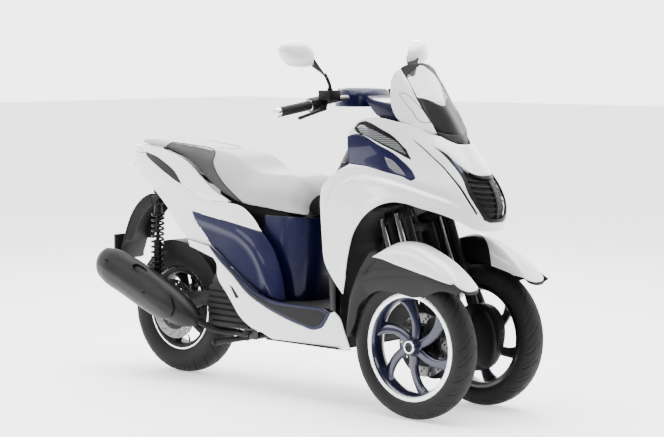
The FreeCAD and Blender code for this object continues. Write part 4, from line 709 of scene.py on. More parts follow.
# %% Cowl surface and lines
cowl = Skin({
    400: "200,0 186,60 145,115 50,190 -80,240 -240,248 -400,242",
    520: "202,0 188,60 148,115 55,190 -80,242 -240,251 -400,243",
    645: "205,0 190,60 150,115 60,187 -80,243 -240,252 -400,240",
    741: "208,0 190,60 145,118 50,190 -60,243 -240,254 -400,240",
    800: "182,0 162,56 122,106 36,172 -60,227 -230,246 -400,238",
    845: "148,0 130,50 90,96 14,156 -80,210 -230,236 -400,232",
    910: "92,0 74,48 38,100 -40,156 -110,192 -230,216 -400,222",
    980: "28,0 10,48 -20,96 -80,150 -130,184 -230,208 -400,214",
    1045: "-24,0 -38,46 -62,90 -110,144 -150,176 -230,198 -400,204",
})
COWL_HALF = half_outline([
    *runs_of("0,930 47,933 74,947 97,966 142,980 191,997 279,1011 387,1022 | 450,1021 490,1008 | 520,978 | "
             "532,955 522,897 505,862"),
    *side_runs(cowl, "-262,859 -290,845 -340,815 | -382,776 -386,735 -383,660 -376,592 -362,516 -325,463"),
    from_side(cowl, "-276,411 -258,496") + points_of("481,552 458,625 423,677 390,712 355,734 325,741 288,737 239,721 "
                                                     "193,706 151,687 121,668 85,650 40,643"),
    [(0, 642)]])
LAMP = outline_of(
    "505,984 484,1003 | 452,1010 408,998 371,985 284,948 | 248,915 | 250,880 301,906 376,933 442,957 500,977", 5.0)
LAMP_GLASS = outline_of(
    "492,988 477,996 426,984 347,960 273,927 | 258,898 320,920 409,950 484,979", 5.0)
INSERT = outline_of(
    "532,955 513,962 377,926 305,894 268,848 | 259,821 270,814 305,826 361,839 430,855 | 505,862 522,897", 5.0)
WINDOW = outline_of("360,890 325,877 306,855 | 291,830 326,840 | 347,857", 4.0)
slot_line = smooth_line(points_of("205,953 177,920 159,879 140,832 116,784 98,740 80,702"), 5.0)
slot_run = np.gradient(slot_line, axis=0)
slot_side = unit(np.column_stack([slot_run[:, 1], -slot_run[:, 0]]))
slot_wide = np.interp(np.linspace(0, 1, len(slot_line)), [0, 0.1, 0.6, 1], [1.0, 2.9, 4.2, 3.0]).reshape(-1, 1)
SLOT = [tuple(point) for point in np.concatenate([slot_line + slot_side * slot_wide,
                                                  (slot_line - slot_side * slot_wide)[::-1]])]
GRILLE = whole(half_outline("0,829 34,829 70,843 94,870 108,903 | 138,927 121,901 111,862 103,827 98,773 84,734 | "
                            "56,682 30,672 | 0,671", 5.0))
GRILLE_INNER = whole(half_outline("0,818 30,819 60,834 | 84,858 90,826 86,776 74,738 | 50,694 28,684 | 0,683", 5.0))
RIDGE = smooth_line(points_of("590,690 565,734 548,770 519,797 483,813 451,818 403,814 324,797 214,761 165,743 129,723 "
                              "116,701 114,679"), 6.0)
ARCH = smooth_line(points_of("486,500 479,560 458,625 423,677 390,712 355,734 325,741 288,737 239,721 193,706 "
                             "151,687 121,668 85,650"), 6.0)


def cowl_relief(flat):
    """Hollow band above the ridge and a rolled lip along the arch."""
    u = np.abs(flat[:, 0])
    gap, side = distance_to(RIDGE, flat)
    fade = np.clip((u - 108.0) / 60.0, 0.0, 1.0) * np.clip((600.0 - u) / 40.0, 0, 1)
    hollow = np.where(side < 0, -8.0 * np.exp(-((gap - 15.0) / 12.0) ** 2) + 2.0 * np.exp(-(gap / 5.0) ** 2),
                      3.5 * np.exp(-(gap / 14.0) ** 2))
    reach, _ = distance_to(ARCH, flat)
    lip = 3.5 * (1.0 / (1.0 + np.exp((reach - 24.0) / 1.8))) * np.clip((u - 90.0) / 60.0, 0.0, 1.0)
    return hollow * fade + lip


print("cowl outline points", len(COWL_HALF))

# %% [markdown]
# ## Front panels
# The cowl has a hole for each part that is let into it. Each part is a patch of the same surface, a little smaller
# than its hole, so that an even gap stays between the two.

# %% Front panels
openings = [widened(LAMP, 0.8), widened(SLOT, 0.1)]
holes = openings + [flipped(ring) for ring in openings] + [widened(GRILLE, 0.8)]
holes += [widened(INSERT, -0.01), flipped(widened(INSERT, -0.01))]
front_panel = panel("front_cowl_panel", cowl, whole(COWL_HALF), holes, 8.0, cowl_relief, 3.2, 0.9, *WHITE, "front_cowl")
for side, _, turn in SIDES:
    panel(f"lamp_frame_{side}", cowl, turn(widened(LAMP, -0.4)), [turn(LAMP_GLASS)], 7.0, 0.0, 3.0, 0.5, *SATIN)
    panel(f"lamp_glass_{side}", cowl, turn(widened(LAMP_GLASS, -0.3)), [], 6.0, 0.6, 3.0, 0.6,
          "body", "lamp_lens", lamp_clear, "lamp_lenses")
    panel(f"cowl_insert_{side}", cowl, turn(widened(INSERT, -0.9)), [turn(WINDOW)], 7.0, 0.3, 3.0, 1.2,
          *BLUE, "cowl_inserts")
    panel(f"insert_window_{side}", cowl, turn(widened(WINDOW, -0.4)), [], 5.0, -0.8, 2.5, 0.5,
          "body", "lamp_lens", smoky_window)
    panel(f"nose_slot_{side}", cowl, turn(widened(SLOT, 1.2)), [], 6.0, -2.2, 1.5, 0.0, *SATIN)
panel("grille_frame", cowl, widened(GRILLE, -0.4), [GRILLE_INNER], 6.0, -0.8, 8.0, 0.8, *SATIN)
print("cowl panel", len(front_panel.data.polygons), "faces")

# %% [markdown]
# ## Turned and lofted forms
# Wheels are turned on a lathe, and spokes and bars are lofted through rings of points. Both are grids of four-sided
# faces that may close on themselves.


# %% Builders for turned and lofted pieces
def mesh_piece(name, points, faces):
    """New piece with its faces turned outwards."""
    piece = new_piece(name, points, faces)
    with open_mesh(piece) as sheet:
        bmesh.ops.recalc_face_normals(sheet, faces=sheet.faces)
    return piece


def strips(rows, columns, closed_rows, closed_columns):
    """Quads of a grid of points, which may close on itself either way."""
    return [(i * columns + j, i * columns + (j + 1) % columns,
             (i + 1) % rows * columns + (j + 1) % columns, (i + 1) % rows * columns + j)
            for i in range(rows if closed_rows else rows - 1)
            for j in range(columns if closed_columns else columns - 1)]


def turned(name, centre, profile, steps, shape=None):
    """Ring turned about a wheel axle from a closed profile of (across, radius), which shape may change."""
    profile = np.asarray(profile, float)
    angles = np.linspace(0.0, 2 * math.pi, steps, endpoint=False).reshape(-1, 1)
    across = np.repeat(profile[None, :, 0], steps, axis=0)
    radius = np.repeat(profile[None, :, 1], steps, axis=0)
    if shape is not None:
        across, radius = shape(angles, across, radius)
    grid = np.stack([centre[0] + radius * np.cos(angles), centre[1] + across,
                     centre[2] + radius * np.sin(angles)], axis=2)
    return mesh_piece(name, grid.reshape(-1, 3), strips(steps, len(profile), True, True))


def lofted(name, rings):
    """Skin over closed rings that have the same number of points, with a cap at each end."""
    rings = np.asarray(rings, float)
    rows, columns = rings.shape[:2]
    caps = [tuple(range(columns)), tuple(range((rows - 1) * columns, rows * columns))]
    return mesh_piece(name, rings.reshape(-1, 3), strips(rows, columns, False, True) + caps)


def turns_of(count):
    """Angles of an even division of the circle."""
    return np.linspace(0.0, 2 * math.pi, count, endpoint=False)


def square_to(run):
    """Some direction across a run."""
    side = np.cross(run, (0.0, 1.0, 0.0))
    return side if np.linalg.norm(side) >= 0.2 else np.cross(run, (1.0, 0.0, 0.0))


def pipe(name, path, radius, sides=14):
    """Round bar along a path; the radius may change from point to point."""
    path = np.asarray(path, float)
    radii = np.broadcast_to(np.asarray(radius, float), (len(path),))
    runs = unit(np.gradient(path, axis=0))
    side, rings = square_to(runs[0]), []
    for point, run, thick in zip(path, runs, radii):
        side = unit(side - run * side.dot(run))
        other = np.cross(run, side)
        rings.append([point + thick * (side * math.cos(t) + other * math.sin(t)) for t in turns_of(sides)])
    return lofted(name, rings)


def joined(name, pieces):
    """One piece made of several."""
    pick(*pieces)
    bpy.ops.object.join()
    pieces[0].name = pieces[0].data.name = name
    return pieces[0]


def dome_bolt(centre, run, radius, tall):
    """Round-headed screw that stands on a surface, seen from its run."""
    run = unit(run)
    side = unit(np.cross(run, (0.0, 0.0, 1.0)))
    other = np.cross(run, side)
    rings = [[np.asarray(centre, float) + run * tall * lift
              + radius * share * (side * math.cos(t) + other * math.sin(t)) for t in turns_of(18)]
             for lift, share in points_of("0,1 0.35,1 0.8,0.82 1,0.5 1,0.46 0.55,0.4 0.55,0.05")]
    return lofted("screw", rings)


def rounded(piece, width, segments, angle, shade, *paint):
    """Round the edges, apply the modifiers and shade; paint is body, slot, finish and nodes."""
    edge_round(piece, width * MM, segments, angle)
    apply_all(piece)
    return shaded(piece, shade, *paint)


print("form builders ready")

# %% [markdown]
# ## Tyres
# The tyre is turned from its section and then grooved: each shoulder has long curved grooves with a short one
# between them. Grooves are a rule of the angle and the distance from the crown, pushed in along the section's
# own outward direction.

# %% Tyres with their tread
FRONT_TYRE = points_of("0,250 14,248.8 26,244.6 36,236.5 42,226.5 45,215 44.2,204 40.5,194 35,187.4 30.5,184.6 "
                       "28.4,182")
REAR_TYRE = points_of("0,251.5 18,250.2 34,245.5 46,236.5 53,225 56,211 55,195 50,178 43,166.5 37.5,160.6 35.4,157")
TREAD_STEPS = 560


def tyre(name, centre, half, pitches, lean):
    """Tyre with a grooved tread; half is its section from the crown to the bead."""
    line = smooth_line(half, 3.0)
    line = np.concatenate([line[:0:-1] * (-1, 1), line])
    inner = np.array([(half[-1][0] - 1.5, half[-1][1] - 3), (-half[-1][0] + 1.5, half[-1][1] - 3)])
    profile = np.concatenate([line, inner])
    run = np.gradient(line, axis=0)
    out = np.concatenate([unit(np.column_stack([-run[:, 1], run[:, 0]])), [(0, 0), (0, 0)]])
    widest = max(point[0] for point in half)
    crown = half[0][1]

    def grooves(angles, across, radius):
        share = np.abs(across) / widest
        side = np.where(across < 0, 0.5, 0.0)
        tread = (radius > crown - widest * 0.62).astype(float)
        sweep = lean * share ** 1.4
        turn = angles * pitches / (2 * math.pi) + sweep + side
        long = np.abs((turn % 1.0) - 0.5)
        short = np.abs(((turn + 0.5 + 0.15 * share) % 1.0) - 0.5)
        begin = np.clip((share - 0.10) / 0.08, 0, 1) * np.clip((1.0 - share) / 0.06, 0, 1)
        late = np.clip((share - 0.42) / 0.08, 0, 1) * np.clip((0.97 - share) / 0.06, 0, 1)
        deep = 2.6 * np.exp(-(long / 0.042) ** 4) * begin + 2.2 * np.exp(-(short / 0.03) ** 4) * late
        ring = 0.7 * np.exp(-((radius - (crown - widest * 1.12)) / 1.6) ** 2)
        ring += 0.6 * np.exp(-((radius - (crown - widest * 1.34)) / 1.2) ** 2)
        lift = ring - deep * tread
        return across + lift * out[None, :, 0], radius + lift * out[None, :, 1]

    return smooth(turned(name, centre, profile, TREAD_STEPS, grooves), 50.0)


WHEELS = {"right": (0.0, -186.0, 250.0), "left": (0.0, 186.0, 250.0)}
REAR_AXLE = (-1310.0, 0.0, 251.5)
for side, centre in WHEELS.items():
    finish_piece(tyre(f"tread_front_{side}", centre, FRONT_TYRE, pitches=26, lean=0.85),
                 f"wheel_front_{side}", "tyre", tyre_rubber, f"tyre_front_{side}")
rear = finish_piece(tyre("tread_rear", REAR_AXLE, REAR_TYRE, pitches=24, lean=-0.8),
                    "wheel_rear", "tyre", tyre_rubber, "tyre_rear")
print("tyres", len(rear.data.polygons), "faces each")

# %% [markdown]
# ## Cast wheels
# A cast wheel is a turned hoop, a turned hub and swept spokes joined in one piece. The front ones have six spokes
# and are blue outboard and near black inboard; the rear one has five. The outer lip is machined bright, as a thin
# ring over the casting.


# %% Cast wheels
def hoop_profile(half, bead, depth):
    """Section of the hoop, from the outer flange round to the inner one."""
    return [(-half, bead + 8), (-half + 1.2, bead + 9), (-half + 2.8, bead + 9), (-half + 4, bead + 7.6),
            (-half + 5, bead), (-half + 15, bead - 1), (-half + 22, bead - 9), (half - 22, bead - 9),
            (half - 15, bead - 1), (half - 5, bead), (half - 4, bead + 7.6), (half - 2.8, bead + 9),
            (half - 1.2, bead + 9), (half, bead + 8), (half, bead - depth + 11), (half - 1.4, bead - depth + 9),
            (half - 12, bead - depth + 4), (10, bead - depth), (0, bead - depth - 1), (-10, bead - depth),
            (-half + 12, bead - depth + 4), (-half + 1.4, bead - depth + 9), (-half, bead - depth + 11)]


def spoke(centre, angle, inner, outer, side, sweep):
    """Swept spoke: wide at both ends, waisted in the middle, with a rounded section that leans as it goes out."""
    rings = []
    for share in np.linspace(0.0, 1.0, 13):
        radius = inner + (outer - inner) * share
        half = float(np.interp(share, [0.0, 0.2, 0.5, 0.8, 1.0], [17.0, 16.5, 17.0, 20.0, 29.0]))
        thick = float(np.interp(share, [0.0, 0.3, 0.8, 1.0], [13.0, 10.5, 9.0, 11.0]))
        where = angle + sweep * share ** 1.35
        lean = 0.30 * share
        ring = []
        for turn in turns_of(20):
            flat = math.copysign(abs(math.cos(turn)) ** 0.66, math.cos(turn)) * half
            deep = math.copysign(abs(math.sin(turn)) ** 0.66, math.sin(turn)) * thick
            across = flat * math.sin(lean) + deep * math.cos(lean)
            at = where + (flat * math.cos(lean) - deep * math.sin(lean)) / radius
            ring.append((centre[0] + radius * math.cos(at), centre[1] + side * across,
                         centre[2] + radius * math.sin(at)))
        rings.append(ring)
    return lofted("spoke", rings)


def cast_wheel(name, centre, side, half, bead, depth, spokes, hub, sweep, first):
    """Hoop of a half width and a bead radius, with hub and spokes, in one piece."""
    parts = [turned("hoop", centre, hoop_profile(half, bead, depth), 128)]
    parts.append(turned("hub", centre, [(side * a, r) for a, r in hub], 64))
    parts += [spoke(centre, first + 2 * math.pi * i / spokes, 24.0, bead - depth + 3, side, sweep)
              for i in range(spokes)]
    stem = np.array([(centre[0] + r * math.cos(-1.45), centre[1] + side * a, centre[2] + r * math.sin(-1.45))
                     for a, r in ((2, bead - depth + 3), (2, bead - depth - 12), (7, bead - depth - 26))])
    parts.append(pipe("valve", stem, [3.6, 3.2, 2.6], 12))
    return joined(name, parts)


FRONT_HUB = points_of("-41,10.6 -41,24 -30,29 -14,34 14,34 24,30 34,26 35,24 35,10.6")
REAR_HUB = points_of("-50,10.6 -50,24 -40,30 -14,34 14,34 40,32 60,28 64,24 64,10.6")
LIP_SECTION = "33.7,185.8 34.1,184.6 34.1,171.4 33.4,169.4 32,169.6 32,186.2"
for side, sign, _ in SIDES:
    body, centre = f"wheel_front_{side}", WHEELS[side]
    wheel = cast_wheel(f"cast_wheel_{side}", centre, sign, half=33, bead=178, depth=19, spokes=6, hub=FRONT_HUB,
                       sweep=0.42, first=0.35)
    rounded(wheel, 1.2, 2, 40, 42.0, body, "rim_blue", wheel_paint, f"rim_front_{side}")
    for name, steps, profile, slot, finish in (
            ("bright_lip", 160, LIP_SECTION, "disc_steel", bright_lip),
            ("hub_ring", 64, "35,22.5 36.6,21.5 36.6,17.5 35,16.5", "disc_steel", bright_lip),
            ("hub_cap", 48, "34.5,16.5 36,15.5 34.2,10 34.6,0.4 30,0.4 30,16.5", "black_plastic", satin_plastic)):
        shaded(turned(f"{name}_{side}", centre, [(sign * a, r) for a, r in points_of(profile)], steps), 30.0,
               body, slot, finish)
wheel = cast_wheel("cast_wheel_rear", REAR_AXLE, -1, half=40, bead=152.5, depth=19, spokes=5, hub=REAR_HUB,
                   sweep=0.36, first=0.2)
rounded(wheel, 1.2, 2, 40, 42.0, "wheel_rear", "rim_black", cast_black, "rim_rear")
shaded(turned("bright_lip_rear", REAR_AXLE, points_of("-40.6,160.2 -40.6,155 -39.6,154.6 -39.6,161"), 128), 30.0,
       "wheel_rear", "disc_steel", bright_lip)
print("cast wheels done")

# %% [markdown]
# ## Brake discs
# Each rotor is a flat ring with three rows of drilled holes. It is carried by a dark inner plate that has five oval
# openings. Both are patches of a plane, so holes need no cutting of solids.


# %% Brake discs
def circle(centre, radius, count):
    """Side-view outline about an axle."""
    return [(centre[0] + radius * math.cos(t), centre[2] + radius * math.sin(t)) for t in turns_of(count)]


def brake_disc(place, centre, y, outer):
    """Drilled rotor on a dark carrier with oval openings."""
    plane = SidePlate(math.copysign(1.0, y), lambda x, z: np.full(len(x), abs(y)))
    holes = []
    for i in range(14):
        for row, radius in enumerate((outer - 9, outer - 19, outer - 29)):
            t = 2 * math.pi * (i + row * 0.27) / 14
            spot = (centre[0] + radius * math.cos(t), 0.0, centre[2] + radius * math.sin(t))
            holes.append(circle(spot, 3.4, 10))
    panel(f"rotor_{place}", plane, circle(centre, outer, 96), [circle(centre, outer - 37, 72)] + holes, 9.0, 0.0, 4.0,
          0.3, f"wheel_{place}", "disc_steel", disc_steel, f"disc_{place}")
    gaps = []
    for i in range(5):
        ring = []
        for t in turns_of(16):
            radius = (outer - 37 + 30) / 2 + (outer - 37 - 48) / 2 * math.cos(t)
            at = 2 * math.pi * i / 5 + 0.36 * math.sin(t) + 0.004 * radius
            ring.append((centre[0] + radius * math.cos(at), centre[2] + radius * math.sin(at)))
        gaps.append(ring)
    panel(f"carrier_{place}", plane, circle(centre, outer - 35, 72), [circle(centre, 18, 32)] + gaps, 8.0, 1.0, 6.0,
          0.6, f"wheel_{place}", "black_plastic", satin_plastic)


brake_disc("front_right", WHEELS["right"], -141.0, 110.0)
brake_disc("front_left", WHEELS["left"], 141.0, 110.0)
brake_disc("rear", REAR_AXLE, -68.0, 115.0)
print("brake discs done")

# %% [markdown]
# ## Front fenders and their liners
# Each fender is a crowned cap, cut on the slant at its rear. Its outer side and its nose are white, and its inner
# side behind the fork is black. Below the cap lies a dark liner with a sharp crest and a lip that curls under.

# %% Fenders
TRACK_HALF = 186.0
FENDER_LINE = [(-192, 553, 558), (-166, 550, 562), (-110, 545, 586), (-45, 530, 605), (40, 512, 598), (103, 499, 572),
               (160, 484, 541), (205, 466, 503), (238, 448, 463), (262, 430, 436)]


class FenderSkin:
    """Crown over a front wheel: flat points are (across the arc from the outer edge, x)."""

    HALF = 55.0
    ARC = 90.0

    def __init__(self, side):
        self.side = side
        self.x, self.low, self.top = (np.array(row, float) for row in zip(*FENDER_LINE))

    def points(self, flat):
        flat = np.asarray(flat, float)
        x = np.clip(flat[:, 1], self.x[0], self.x[-1])
        low = smooth_through(self.x, self.low, x)
        top = np.maximum(smooth_through(self.x, self.top, x), low + 2.0)
        turn = (np.clip(flat[:, 0] / self.ARC, -1.0, 1.0) + 1.0) * math.pi / 2
        power = 2 / 2.7
        across = np.sign(np.cos(turn)) * np.abs(np.cos(turn)) ** power * self.HALF
        lift = np.abs(np.sin(turn)) ** power
        return np.column_stack([flat[:, 1], self.side * (TRACK_HALF + across), low + (top - low) * lift])

    def outward(self, position):
        return np.column_stack([position[:, 0] * 0.2, position[:, 1] - self.side * TRACK_HALF, position[:, 2] - 380.0])


FENDER_WHITE = outline_of(
    "-90,-148 -90,0 | -90,170 -86,190 -68,214 -38,234 0,243 32,238 66,222 84,200 | 90,176 | 90,78 60,64 30,36 10,2 | "
    "0,-46 -45,-95", 7.0)
FENDER_DARK = outline_of("1,-45 11,3 31,37 61,65 | 90,79 | 90,-150 45,-110", 7.0)
FENDER_BAND = outline_of(
    "-89,120 | -90,176 -86,197 -68,221 -38,241 0,250 32,245 66,229 84,207 | 90,182 | 89,120 0,165", 7.0)
LINER = outline_of(
    "-257,262 -230,306 -205,379 -166,414 -131,431 | -33,431 22,422 83,433 150,454 | 225,450 | 244,462 210,482 "
    "160,500 103,514 40,526 -45,543 | -110,560 -150,566 -205,508 -240,440 -258,350 | -264,262")
CREST = np.array(points_of("-262,300 -240,400 -202,460 -124,481 -20,491 82,496 189,475 240,462"))
FLAP = points_of("-256,264 -252,330 -238,400 -212,458 -176,506 -140,535")
FLAP_HALF = (48, 50, 52, 53, 53, 52)


def liner_reach(x, z):
    """Half width of the liner: proud along its crest, set back above it and curled in below."""
    gap, side = distance_to(CREST, np.column_stack([x, z]), fold=False)
    above = np.minimum(gap, 26.0) * 0.34 * (side > 0)
    below = 0.004 * np.minimum(gap, 70.0) ** 2 * 0.7 * (side <= 0)
    return 243.0 - above - below


for side, sign, _ in SIDES:
    skin, fork, middle = FenderSkin(sign), f"fork_{side}", sign * TRACK_HALF
    panel(f"fender_cap_{side}", skin, FENDER_WHITE, [], 7.0, 0.0, 3.0, 0.8,
          fork, "white_paint", white_paint, f"front_fender_{side}")
    panel(f"fender_inner_{side}", skin, FENDER_DARK, [], 8.0, -1.5, 2.5, 0.5, fork, "black_plastic", satin_plastic)
    panel(f"fender_lip_{side}", skin, FENDER_BAND, [], 8.0, -4.5, 2.0, 0.4, fork, "black_plastic", satin_plastic)
    panel(f"liner_plate_{side}", SidePlate(sign, liner_reach), LINER, [], 6.0, 0.0, 4.0, 0.7,
          fork, "black_plastic", liner_plastic)
    arc = np.linspace(0.0, math.pi, 15)
    rings = [[(x - 5.0 * math.sin(t), middle + half * math.cos(t), z + 3.0 * math.sin(t)) for t in arc]
             + [(x + 4.0 - 4.0 * math.sin(t), middle + (half - 2.5) * math.cos(t), z) for t in arc[::-1]]
             for (x, z), half in zip(FLAP, FLAP_HALF)]
    shaded(lofted(f"liner_flap_{side}", rings), 50.0, fork, "black_plastic", liner_plastic, f"fender_liner_{side}")
print("fenders done")

# %% [markdown]
# ## Lower body
# The white skirt runs back from the front wheel and sweeps up to the tail. A dark blue trim with a black band along
# its middle lies on it. The half width of these plates goes smoothly between level lines.


# %% Skirts and floor edges
def level_reach(levels):
    """Half width at (x, z), smooth between level lines."""
    heights = np.array(list(levels), float)
    lines = [np.array(points_of(line)) for line in levels.values()]

    def reach(x, z):
        rows = np.array([smooth_through(line[:, 0], line[:, 1], np.clip(x, line[0, 0], line[-1, 0]))
                         for line in lines])
        clipped = np.clip(z, heights[0], heights[-1])
        index = np.clip(np.searchsorted(heights, clipped, side="right") - 1, 0, len(heights) - 2)
        share = (clipped - heights[index]) / (heights[index + 1] - heights[index])
        row = np.arange(len(x))
        return rows[index, row] * (1 - share) + rows[index + 1, row] * share

    return reach


lower_reach = level_reach({
    190: "-1145,160 -1000,176 -800,194 -600,196 -400,192 -230,192",
    270: "-1145,162 -1000,184 -800,205 -600,210 -400,212 -230,211",
    345: "-1145,164 -1000,190 -800,207 -600,211 -400,213 -230,212",
    430: "-1145,164 -1000,189 -800,203 -600,205 -400,206 -230,206",
    550: "-1145,164 -1000,182 -800,194 -600,196 -400,196 -230,196",
})
SKIRT = outline_of(
    "-1132,540 | -1119,515 -1040,498 | -971,482 -952,462 -946,422 -879,346 -814,274 -761,243 | -705,229 -660,211 "
    "-576,208 -483,203 -387,202 | -284,203 -290,230 -303,281 -322,322 | -346,341 | -366,333 -384,304 -404,280 "
    "-438,267 -511,277 -609,301 -700,332 -781,369 -862,428 -950,484 | -1000,524")
PEG_SLOT = outline_of("-876,391 | -860,386 | -821,349 | -840,344", 4.0)
TRIM = outline_of(
    "-366,333 -384,304 -404,280 -438,267 -511,277 -609,301 -700,332 -781,369 -862,428 -950,484 | -1000,524 -945,496 "
    "-877,455 -795,407 -729,375 -654,355 -570,349 | -420,349")
TRIM_BLACK_BAND = outline_of(
    "-386,326 -404,300 -440,277 -511,287 -609,311 -700,342 -781,379 -862,436 | -925,476 -862,443 -795,397 -729,364 "
    "-654,342 -570,338 | -425,339")
for side, sign, _ in SIDES:
    plate = SidePlate(sign, lower_reach)
    panel(f"skirt_{side}", plate, widened(SKIRT, -0.5), [PEG_SLOT], 8.0, 0.0, 3.5, 1.4, *WHITE, "side_skirts")
    panel(f"peg_slot_{side}", plate, widened(PEG_SLOT, 1.5), [], 5.0, -3.0, 1.5, 0.0, *SATIN)
    panel(f"floor_trim_{side}", plate, widened(TRIM, -0.5), [], 7.0, 1.0, 10.0, 2.0, *BLUE, "floor_edges")
    panel(f"trim_black_band_{side}", plate, TRIM_BLACK_BAND, [], 7.0, 2.2, 2.0, 0.8, *GRAINY)
print("lower body done")

# %% [markdown]
# ## Tail
# The white tail, the blue side panel and the grab rail are cut from one surface, so their highlights run on. The
# panel has a hollow middle inside a rolled border, and a flat black sheet between the rail and the tail is painted
# shade for the gap under the rail.

# %% Tail surface and its panels
tail = Skin({
    345: "-1540,0 -1520,50 -1400,110 -1200,156 -1000,184 -860,190 -740,190 -650,186 -604,168",
    440: "-1550,0 -1530,50 -1400,108 -1200,150 -1000,178 -860,186 -740,184 -660,172 -604,148",
    530: "-1556,0 -1536,50 -1400,105 -1200,144 -1000,167 -860,176 -740,170 -670,156 -604,136",
    610: "-1562,0 -1541,50 -1400,104 -1200,140 -1000,158 -860,164 -740,158 -670,146 -604,132",
    700: "-1568,0 -1546,50 -1400,106 -1200,138 -1000,153 -860,156 -740,150 -670,142 -604,130",
    790: "-1574,0 -1552,48 -1420,98 -1200,136 -1000,151 -860,152 -740,148 -670,140 -604,128",
    845: "-1578,0 -1556,44 -1440,88 -1240,126 -1000,149 -860,150 -740,146 -670,138 -604,126",
    880: "-1574,0 -1552,40 -1450,78 -1250,116 -1000,146 -860,148 -740,144 -670,136 -604,124",
})
TAIL_HALF = half_outline([
    [(0, 851)] + from_side(tail, "-1500,851 -1435,846 -1379,822 -1285,784 -1214,755 -1106,713 -1005,690"),
    *side_runs(tail, "-926,689 -854,677 -788,635 | -748,592 -850,609 -969,626 | -1129,647 -1120,632 | "
                     "-1007,526.5 -1060,530 | -1146,542 -1199,576 -1276,648 -1397,729"),
    from_side(tail, "-1470,764 -1500,800") + [(46, 806)],
    [(0, 806)]])
LAMP_SPACE = outline_of("46,846 | -46,846 | -46,810 | 46,810", 5.0)
RAIL_RING = outline_of(side_runs(
    tail, "-1540,877 -1502,876 | -1330,874 -1175,834 -1084,778 -1015,734 | -926,698 | "
          "-926,690.5 -1005,694 -1106,718 -1203,755 -1252,795 -1329,829 | -1435,853 | -1540,853"))
PANEL_RING = outline_of(side_runs(
    tail, "-748,591 -692,535 -652,465 -626,386 | -617,349 -654,352 -729,372 -795,404 -877,452 -945,493 | "
          "-1007,526 -1120,632 | -1128,646 -969,625 -850,608"))
RAIL_GAP_SHADE = outline_of(side_runs(
    tail, "-1440,856 -1329,832 -1252,800 -1203,760 | -1190,744 -1214,750 -1285,778 -1379,816 | -1440,842"))
TAIL_CREST = np.array(from_side(tail, "-1520,822 -1397,784 -1285,738 -1150,692 -1000,656 -860,622 -770,600"))
PANEL_CREST = smooth_line(from_side(tail, "-1108,622 -960,596 -860,572 -790,530 -738,470 -700,405 -672,366"), 6.0)


def tail_relief(flat):
    """Shoulder that turns the upper band of the tail outwards."""
    gap, side = distance_to(TAIL_CREST, flat)
    ends = np.clip((np.abs(flat[:, 0]) - 70.0) / 80.0, 0.0, 1.0)
    return np.where(side > 0, 2.4 * np.exp(-(gap / 30.0) ** 2), 2.4 * np.exp(-(gap / 7.0) ** 2)) * ends


def panel_relief(flat):
    """Rolled border along the top and front of the blue panel, hollow inside it."""
    gap, side = distance_to(PANEL_CREST, flat)
    hollow = -7.0 * (1.0 - np.exp(-(gap / 16.0) ** 2)) * np.exp(-(gap / 150.0) ** 2)
    outer = -3.0 * (1.0 - np.exp(-(gap / 20.0) ** 2))
    return np.where(side < 0, hollow, outer) + 1.0


panel("tail_panel", tail, whole(TAIL_HALF), [LAMP_SPACE], 8.0, tail_relief, 3.5, 1.2, *WHITE, "tail_cowl")
for side, _, turn in SIDES:
    panel(f"side_panel_{side}", tail, turn(widened(PANEL_RING, -0.8)), [], 6.0, panel_relief, 3.5, 1.4,
          *BLUE, "side_panels")
    panel(f"rail_face_{side}", tail, turn(widened(RAIL_RING, 0.3)), [], 7.0, 0.7, 5.0, 2.0, *WHITE)
    # Painted shade: a flat black sheet on the tail surface stands for the shadowed gap under the grab rail.
    panel(f"rail_gap_shade_{side}", tail, turn(RAIL_GAP_SHADE), [], 7.0, 1.2, 1.2, 0.3, *SATIN)
print("tail done")

# %% [markdown]
# ## Screen
# The screen is one clear moulding with a dark edge. Its lower part is masked in black under a curved boundary, and
# white wings stand proud at both sides with a fine dark line let into them.

# %% Screen and wings
screen_skin = Skin({
    924: "68,0 52,40 16,80 -54,120 -82,150",
    976: "27,0 15,47 -7,93 -75,128 -100,150",
    1030: "-10,0 -22,46 -42,92 -105,132 -128,152",
    1081: "-48,0 -58,44 -76,88 -128,130 -150,152",
    1130: "-84,0 -93,43 -108,86 -142,122 -160,148",
    1168: "-111,0 -119,42 -137,84 -155,114 -168,140",
    1212: "-140,0 -148,40 -162,78 -174,106 -184,130",
})
SCREEN = whole(half_outline("0,930 20,932 60,944 | 88,970 92,1038 94,1088 95,1130 | 93,1158 80,1184 43,1202 | 0,1206"))
SCREEN_INNER = whole(half_outline("0,936 20,938 56,950 | 82,973 86,1038 88,1088 89,1128 | 87,1155 74,1179 40,1196 | "
                                  "0,1200"))
MASK = outline_of(
    "-91,1090 -65,1086 -42,1078 -22,1066 0,1060 22,1066 42,1078 65,1086 | 91,1090 88,1038 | 81,976 48,966 0,962 "
    "-48,966 | -81,976 -88,1038")
BASE_LIP = outline_of(
    "-81,976 -48,966 0,962 48,966 | 81,976 58,948 24,934 0,931 -24,934 -58,948")
WING = outline_of(
    "82,968 137,990 | 170,1008 178,1025 180,1050 174,1103 | 170,1148 155,1172 | 106,1187 97,1158 95,1088 90,1038 | "
    "82,996")
CORNER = outline_of("107,1187 | 96,1157 70,1171 43,1184 | 0,1203 50,1202 84,1195", 5.0)
WING_LINES = runs_of("144,1101 134,1103 118,1098 111,1090 | 111,1090 92,1047 84,1004 | "
                     "84,1004 107,1004 123,1051 144,1101")
panel("screen_pane", screen_skin, SCREEN, [], 8.0, 0.0, 3.0, 0.6, "body", "smoked_clear", screen_clear, "windscreen")
panel("screen_edge", screen_skin, widened(SCREEN, 0.6), [SCREEN_INNER], 6.0, 0.5, 4.0, 0.8, *SATIN)
panel("screen_mask", screen_skin, MASK, [], 8.0, 0.4, 3.8, 0.2, "body", "black_plastic", gloss_black)
panel("screen_base", screen_skin, BASE_LIP, [], 7.0, 1.2, 5.0, 1.0, "body", "black_plastic", liner_plastic)
